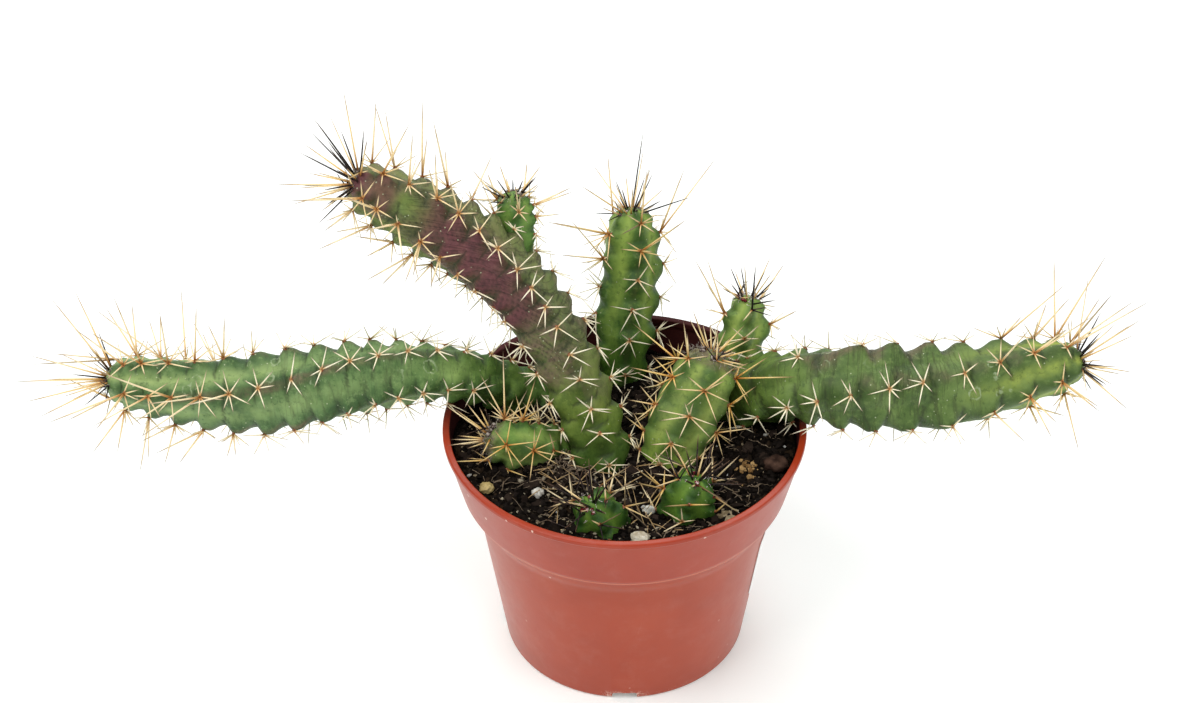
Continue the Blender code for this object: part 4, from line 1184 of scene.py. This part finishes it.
def make_label():
    """A blank sticker with rounded corners and slightly lifted edges."""
    columns, rows = 91, 51
    high = LABEL_TOP - LABEL_BOTTOM
    wide = (LABEL_TO - LABEL_FROM) * LABEL_RADIUS
    x, z = np.meshgrid(np.linspace(0, wide, columns), np.linspace(0, high, rows))
    # points in the square corners are drawn in to round ones
    dx = np.maximum(LABEL_CORNER - np.minimum(x, wide - x), 0.0)
    dz = np.maximum(LABEL_CORNER - np.minimum(z, high - z), 0.0)
    corner = (dx > 0) & (dz > 0)
    pull = np.where(corner, 1 - np.maximum(dx, dz) / np.maximum(np.hypot(dx, dz), 1e-9), 0.0)
    x = x + dx * pull * np.sign(wide / 2 - x)
    z = z + dz * pull * np.sign(high / 2 - z)
    edge = np.minimum(np.minimum(x, wide - x), np.minimum(z, high - z))
    lift = LABEL_LIFT * np.exp(-(edge / LABEL_LIFT_RUN) ** 2)
    turn = LABEL_FROM + (LABEL_TO - LABEL_FROM) * x / wide
    height = LABEL_BOTTOM + z
    sheets = []
    for off in (LABEL_FACE, LABEL_BACK):
        radius = wall_radius(height) + off + lift
        sheet = np.stack([radius * np.cos(turn), radius * np.sin(turn), height], axis=-1)
        sheets.append(sheet.reshape(-1, 3))
    number = np.arange(columns * rows).reshape(rows, columns)
    quads = np.stack([number[:-1, :-1], number[:-1, 1:], number[1:, 1:], number[1:, :-1]], axis=-1)
    quads = quads.reshape(-1, 4)
    back = columns * rows
    rim = np.concatenate([number[0], number[1:, -1], number[-1, -2::-1], number[-2:0:-1, 0]])
    after = np.roll(rim, -1)
    sides = np.stack([rim, rim + back, after + back, after], axis=-1)
    faces = np.concatenate([quads, quads[:, ::-1] + back, sides]).tolist()
    label = make_object("pot_label_sheet", np.concatenate(sheets), faces, label_material())
    label.data.set_sharp_from_angle(angle=SHARP)
    return stand_for(label, "pot_label")


# ---- soil ----
def soil_surface(x, y):
    """Height of the crumbly surface."""
    points = np.stack([x, y, np.zeros_like(x)], axis=-1)
    height = soil_level(y) + MOUND * (1 - np.minimum(1.0, np.hypot(x, y) / NECK_RADIUS) ** 2)
    height = height + 1.0 * MM * rough_noise(points, 12 * MM, 2, 31)
    crumbs = np.abs(value_noise(points, 3.4 * MM, 41)) + 0.6 * np.abs(value_noise(points, 1.7 * MM, 42))
    crumbs = crumbs + 0.35 * value_noise(points, 0.8 * MM, 43)
    return height + 1.1 * MM * (crumbs - 0.5)


def on_ground(x, y):
    """The point of the surface at one place."""
    return np.array([x, y, float(soil_surface(np.array([x]), np.array([y]))[0])])


def make_soil():
    angle = np.linspace(0, math.tau, SOIL_SIDES, endpoint=False)
    edge = band_radius(soil_level(SOIL_EDGE * np.sin(angle)) - 1.0 * MM) - WALL - GAP
    share = np.linspace(1.0, 0.0, SOIL_RINGS + 1)[:-1, None]
    x = share * edge * np.cos(angle)
    y = share * edge * np.sin(angle)
    sink = smooth_step((share - 0.97) / 0.03) * 0.8 * MM
    top = np.stack([x, y, soil_surface(x, y) - sink], axis=-1)
    raised = MOAT_RISE + FLOOR + GAP
    lower = [(wall_radius(raised), raised), (NECK_RADIUS, NECK_HEIGHT), (BAND_RADIUS, BAND_HEIGHT)]
    sides = [np.stack([(r - WALL - GAP) * np.cos(angle), (r - WALL - GAP) * np.sin(angle),
                       np.full(SOIL_SIDES, h)], axis=-1) for r, h in lower]
    loops = np.concatenate([sides, top])
    verts = np.concatenate([loops.reshape(-1, 3), [(0, 0, raised), on_ground(0.0, 0.0)]])
    soil = make_object("soil_plug", verts, tube_faces(len(loops), SOIL_SIDES), soil_material())
    return stand_for(soil, "soil")


def soil_material():
    n = Nodes("potting_mix")
    grain = n.noise(1.6 * MM, 6, 0.75)
    clod = n.cells(2.2 * MM, n.warped(0.8 * MM, 2 * MM))
    tone = n.add("ShaderNodeSeparateColor", {"Color": clod.outputs["Color"]}).outputs[0]
    colour = n.ramp(grain, [(0.34, (0.002, 0.0015, 0.001)), (0.52, (0.007, 0.005, 0.004)),
                            (0.66, (0.040, 0.030, 0.020)), (0.82, (0.17, 0.14, 0.09))])
    colour = n.tint(colour, n.band(tone, 0.80, 0.95), 0.5, (0.060, 0.038, 0.022))
    thread = n.noise(0.8 * MM, 4, 0.7, vector=n.stretched((1.0, 0.15, 1.0), (0.0, 0.0, 0.7)))
    colour = n.tint(colour, n.band(thread, 0.66, 0.76), 0.45, (0.20, 0.14, 0.09))
    relief = n.bump(grain, 0.9 * MM, 0.9)
    relief = n.bump(clod.outputs["Distance"], 0.8 * MM, 0.6, relief)
    return n.finish(colour, 0.9, relief, Specular_IOR_Level=0.03)


# ---- loose things on the soil ----
def litter_material(name, dark, light):
    n = Nodes(name)
    grain = n.noise(1.0 * MM, 5, 0.7)
    colour = n.mix(n.attribute("tone"), dark, light)
    colour = n.tint(colour, n.band(grain, 0.50, 0.78), 0.5, tuple(min(0.9, 1.7 * part) for part in light))
    colour = n.tint(colour, n.band(grain, 0.45, 0.25), 0.6, tuple(0.3 * part for part in dark))
    return n.finish(colour, 0.9, n.bump(grain, 0.4 * MM, 0.8), Specular_IOR_Level=0.04)


def free_ground(rng, stems):
    """A random spot on the soil that no stem stands on."""
    while True:
        x, y = rng.uniform(-LITTER_REACH, LITTER_REACH), rng.uniform(-LITTER_REACH, LITTER_REACH)
        if math.hypot(x, y) <= LITTER_REACH:
            spot = on_ground(x, y)
            if not inside_any(stems, spot, 0.92):
                return spot


def heaped(rng, x, y, spread):
    """A random spot on the soil near a point in mm."""
    while True:
        spot = np.array([rng.gauss(x, spread), rng.gauss(y, spread)]) * MM
        if math.hypot(*spot) < LITTER_REACH:
            return on_ground(*spot)


LITTER = [
    # finish, piece, count, sizes mm, flatness, unevenness, heap's middle and spread in mm, dark
    # and light colour
    ("bark_crumb", "soil_bark_crumbs", 2000, (0.5, 1.8), (0.35, 0.7), 0.25, None,
     (0.002, 0.0015, 0.001), (0.016, 0.012, 0.010)),
    ("bark_chip", "soil_bark_chips", 150, (1.6, 3.0), (0.25, 0.5), 0.32, None,
     (0.003, 0.002, 0.0015), (0.032, 0.022, 0.017)),
    ("pale_crumb", "soil_pale_crumbs", 520, (0.22, 0.75), (0.5, 0.9), 0.25, None,
     (0.060, 0.042, 0.026), (0.36, 0.29, 0.19)),
    ("perlite", "soil_perlite", 42, (0.35, 0.9), (0.6, 0.95), 0.25, None,
     (0.45, 0.44, 0.40), (0.75, 0.75, 0.72)),
    ("golden_crumb", "soil_golden_crumbs", 34, (0.5, 1.3), (0.5, 0.9), 0.25, (39.5, -15.5, 2.6),
     (0.16, 0.085, 0.030), (0.46, 0.30, 0.13)),
    ("beige_chip", "soil_beige_chips", 5, (1.6, 2.6), (0.3, 0.5), 0.25, (33.5, -38.5, 2.2),
     (0.20, 0.15, 0.085), (0.48, 0.40, 0.27)),
    ("fine_bit", "soil_fine_bits", 420, (0.30, 0.95), (0.4, 0.8), 0.25, (-8, -32, 15),
     (0.075, 0.060, 0.040), (0.42, 0.37, 0.27)),
]
BEHIND_PUPS = (3, -31, 14)       # where most fallen spines lie, and how far round it, mm
BY_LYING_STEM = (-19, -15)
FALLEN_SPINES = 130
FALLEN_BEHIND_PUPS = 100
DRY_ROOTS = 230
TANGLED_ROOTS = 60
ROOT_STEPS = 9
LITTER_SEED = 5
STEM_SEED = 100


def scatter(name, count, sizes, flatness, sharp, heap, material, rng, stems):
    """Crumbs of one kind strewn over the soil, or in a heap, as one mesh."""
    base, faces = ball(1)
    parts, tones = [], []
    for _ in range(count):
        spot = heaped(rng, *heap) if heap else free_ground(rng, stems)
        size = rng.uniform(*sizes) * MM
        shape = np.array([rng.uniform(0.8, 1.3), rng.uniform(0.6, 0.9), rng.uniform(*flatness)])
        jitter = 1 + sharp * np.array([rng.uniform(-1, 1) for _ in base])
        local = base * jitter[:, None] * shape * size
        turn = Matrix.Rotation(rng.uniform(0, math.tau), 3, "Z")
        turn = turn @ Matrix.Rotation(rng.uniform(-0.5, 0.5), 3, "X")
        parts.append(local @ np.array(turn).T + spot + np.array([0, 0, 0.25 * size * shape[2]]))
        tones.append(rng.random())
    return joined(name, parts, faces, material, dict(tone=np.array(tones)[:, None]), smooth=False)


def fallen_spines(rng, stems):
    """Paths and radii of spines that lie on the soil."""
    paths, radii = [], []
    for number in range(FALLEN_SPINES):
        spot = heaped(rng, *(BEHIND_PUPS if number < FALLEN_BEHIND_PUPS else (*BY_LYING_STEM, 6)))
        heading = rng.uniform(0, math.tau)
        way = np.array([math.cos(heading), math.sin(heading), rng.uniform(0.05, 0.6)])
        spot = spot + np.array([0, 0, 0.4 * MM])
        end = spot + way * rng.uniform(6, 12) * MM
        path = np.stack([spot, (spot + end) / 2, end])
        blocked = any(inside_stem(stem, path, 1.02).any() for stem in stems)
        if not blocked and math.hypot(end[0], end[1]) < THREAD_REACH:
            path[1, 2] += 0.2 * MM
            paths.append(path)
            radii.append(rng.uniform(0.13, 0.26) * MM)
    return paths, radii


def dry_roots(rng, stems):
    """Paths and radii of dry roots: a tangle by the lying stem's foot, and others all over."""
    paths, radii = [], []
    for number in range(DRY_ROOTS):
        spot = free_ground(rng, stems)
        if number < TANGLED_ROOTS:
            spot = heaped(rng, *BY_LYING_STEM, 4.0) + np.array([0, 0, rng.uniform(0, 2.5) * MM])
        heading = rng.uniform(0, math.tau)
        length = rng.uniform(5, 15) * MM
        point = spot + np.array([0, 0, 0.6 * MM])
        path = []
        for _ in range(ROOT_STEPS):
            path.append(point)
            heading += rng.uniform(-0.35, 0.35)
            point = point + np.array([math.cos(heading), math.sin(heading), 0.0]) * length / ROOT_STEPS
            if math.hypot(point[0], point[1]) > THREAD_REACH:
                break
            point = on_ground(point[0], point[1])
            point[2] += rng.uniform(0.2, 1.0) * MM
        if len(path) > 3:
            paths.append(path)
            radii.append(rng.uniform(0.08, 0.24) * MM)
    return paths, radii


def make_litter(stems):
    """Bark crumbs, perlite, fallen spines and dry roots."""
    rng = random.Random(LITTER_SEED)
    for finish, name, *shape, dark, light in LITTER:
        stand_for(scatter(name, *shape, litter_material(finish, dark, light), rng, stems), "soil")
    fallen = thread_mesh("soil_fallen_spines", *fallen_spines(rng, stems),
                         litter_material("fallen_spine", (0.46, 0.31, 0.15), (0.88, 0.78, 0.54)))
    roots = thread_mesh("soil_dry_roots", *dry_roots(rng, stems),
                        litter_material("dry_root", (0.20, 0.150, 0.105), (0.42, 0.34, 0.25)))
    stand_for(fallen, "soil")
    stand_for(roots, "soil")


LUMPS = {
    # centre mm, half sizes mm, seed, dark, light
    "yellow_pebble": ((-45, -27, 82.0), (2.2, 2.1, 1.8), 11, (0.20, 0.13, 0.04), (0.58, 0.45, 0.20)),
    "white_stone": ((5, -51, 81.8), (3.6, 2.2, 1.9), 12, (0.32, 0.26, 0.17), (0.76, 0.72, 0.58)),
    "bark_chunk": ((50, -15, 82.0), (4.0, 3.2, 2.2), 13, (0.022, 0.012, 0.009), (0.085, 0.048, 0.034)),
    "left_perlite": ((-28, -29.5, 82.0), (2.1, 1.7, 1.6), 14, (0.30, 0.28, 0.24), (0.74, 0.72, 0.66)),
    "front_perlite": ((8, -38, 82.0), (1.8, 1.5, 1.4), 15, (0.28, 0.28, 0.24), (0.72, 0.72, 0.66)),
}


def make_lumps():
    base, faces = ball(4)
    for name, (centre, half, seed, dark, light) in LUMPS.items():
        swell = 1 + 0.22 * rough_noise(base, 0.9, 3, seed) + 0.08 * rough_noise(base, 0.28, 3, seed + 5)
        if name == "bark_chunk":
            layers = np.abs(np.mod(base[:, 2] * 4 + 0.6 * value_noise(base, 0.8, seed), 1.0) - 0.5)
            swell = swell - 0.08 * layers
        verts = base * swell[:, None] * np.array(half) * MM + np.array(centre) * MM
        tone = np.clip(0.5 + 0.6 * rough_noise(base, 0.7, 2, seed + 9), 0, 1)
        material = litter_material(name, dark, light)
        stand_for(make_object(name + "_body", verts, faces, material, dict(tone=tone)), name)


# ---- stage ----
LIGHTS = {
    # place, size in metres, power in watts, colour
    "key_softbox": ((-0.50, -0.30, 1.15), 0.80, 9.0, (1.0, 0.985, 0.96)),
    "fill_softbox": ((0.80, -0.50, 0.75), 0.60, 2.6, (0.97, 0.985, 1.0)),
    "back_softbox": ((0.10, 0.80, 1.05), 0.90, 6.0, (1.0, 1.0, 1.0)),
}
LIGHT_AIM = (0.0, 0.0, 0.09)
WORLD_STRENGTH = 0.58
FLOOR_HALF = 4.0
FLOOR_DROP = 0.02 * MM           # keeps the pot's foot and the floor apart


def make_stage():
    n = Nodes("studio_floor")
    colour = n.ramp(n.noise(0.35, 2), [(0.3, (0.90, 0.90, 0.895)), (0.7, (0.93, 0.93, 0.925))])
    material = n.finish(colour, 0.85, n.bump(n.noise(1.5 * MM, 2), 0.03 * MM, 0.3), Specular_IOR_Level=0.2,
                        Emission_Color=(0.76, 1.0, 0.95), Emission_Strength=0.19)
    corners = [(-FLOOR_HALF, -FLOOR_HALF), (FLOOR_HALF, -FLOOR_HALF), (FLOOR_HALF, FLOOR_HALF),
               (-FLOOR_HALF, FLOOR_HALF)]
    floor = make_object("studio_floor", [(x, y, -FLOOR_DROP) for x, y in corners], [(0, 1, 2, 3)], material)

    world = bpy.data.worlds.new("studio")
    bpy.context.scene.world = world
    world.use_nodes = True
    background = world.node_tree.nodes["Background"]
    background.inputs["Color"].default_value = (1.0, 1.0, 1.0, 1.0)
    background.inputs["Strength"].default_value = WORLD_STRENGTH
    for name, (place, size, power, colour) in LIGHTS.items():
        light = bpy.data.lights.new(name, "AREA")
        light.shape = "SQUARE"
        light.size = size
        light.energy = power
        light.color = colour
        thing = placed(name, light)
        thing.location = place
        thing.rotation_euler = (Vector(LIGHT_AIM) - Vector(place)).to_track_quat("-Z", "Y").to_euler()


def make_camera():
    camera = bpy.data.cameras.new("camera")
    camera.lens = CAMERA_LENS
    camera.sensor_width = 36.0
    camera.clip_start = 0.01
    thing = placed("camera", camera)
    turn = Matrix.Rotation(math.pi / 2 + CAMERA_PITCH, 4, "X") @ Matrix.Rotation(-CAMERA_YAW, 4, "Y")
    thing.matrix_world = Matrix.Translation(CAMERA_AT) @ turn
    bpy.context.scene.camera = thing


def main():
    make_stage()
    make_camera()
    bpy.context.scene.view_settings.view_transform = "Standard"
    stems = [Stem(name, **shape) for name, shape in STEMS.items()]
    make_pot()
    make_label()
    make_soil()
    make_litter(stems)
    make_lumps()
    grey_felt = felt_material("areole_felt", [
        (0.38, (0.020, 0.014, 0.011)), (0.50, (0.09, 0.06, 0.05)), (0.62, (0.58, 0.52, 0.46))])
    red_felt = felt_material("new_growth", [
        (0.40, (0.085, 0.008, 0.010)), (0.52, (0.22, 0.025, 0.028)), (0.62, (0.78, 0.68, 0.64))])
    grey_wool = hair_material("grey_wool", (0.05, 0.035, 0.028), (0.42, 0.37, 0.32))
    white_wool = hair_material("white_wool", (0.55, 0.46, 0.42), (0.90, 0.86, 0.82))
    needle = spine_material()
    for number, stem in enumerate(stems):
        rng = random.Random(STEM_SEED + number)
        make_skin(stem)
        spines, pads = [], []
        grow_areoles(stem, rng, spines, pads)
        grow_tuft(stem, rng, spines, pads)
        table = [np.array(column) for column in zip(*spines)]
        keep = keep_clear(stem, *table[:3], stems)
        felt, hair = (red_felt, white_wool) if stem.name in RED_TIPS else (grey_felt, grey_wool)
        crown = stem.name if stem.bare else stem.name + "_crown"
        stand_for(make_spines(stem.name + "_spines", [column[keep] for column in table], needle), crown)
        stand_for(make_pads(stem, pads, felt, rng, stems), crown)
        stand_for(make_wool(stem, rng, hair), crown)


main()
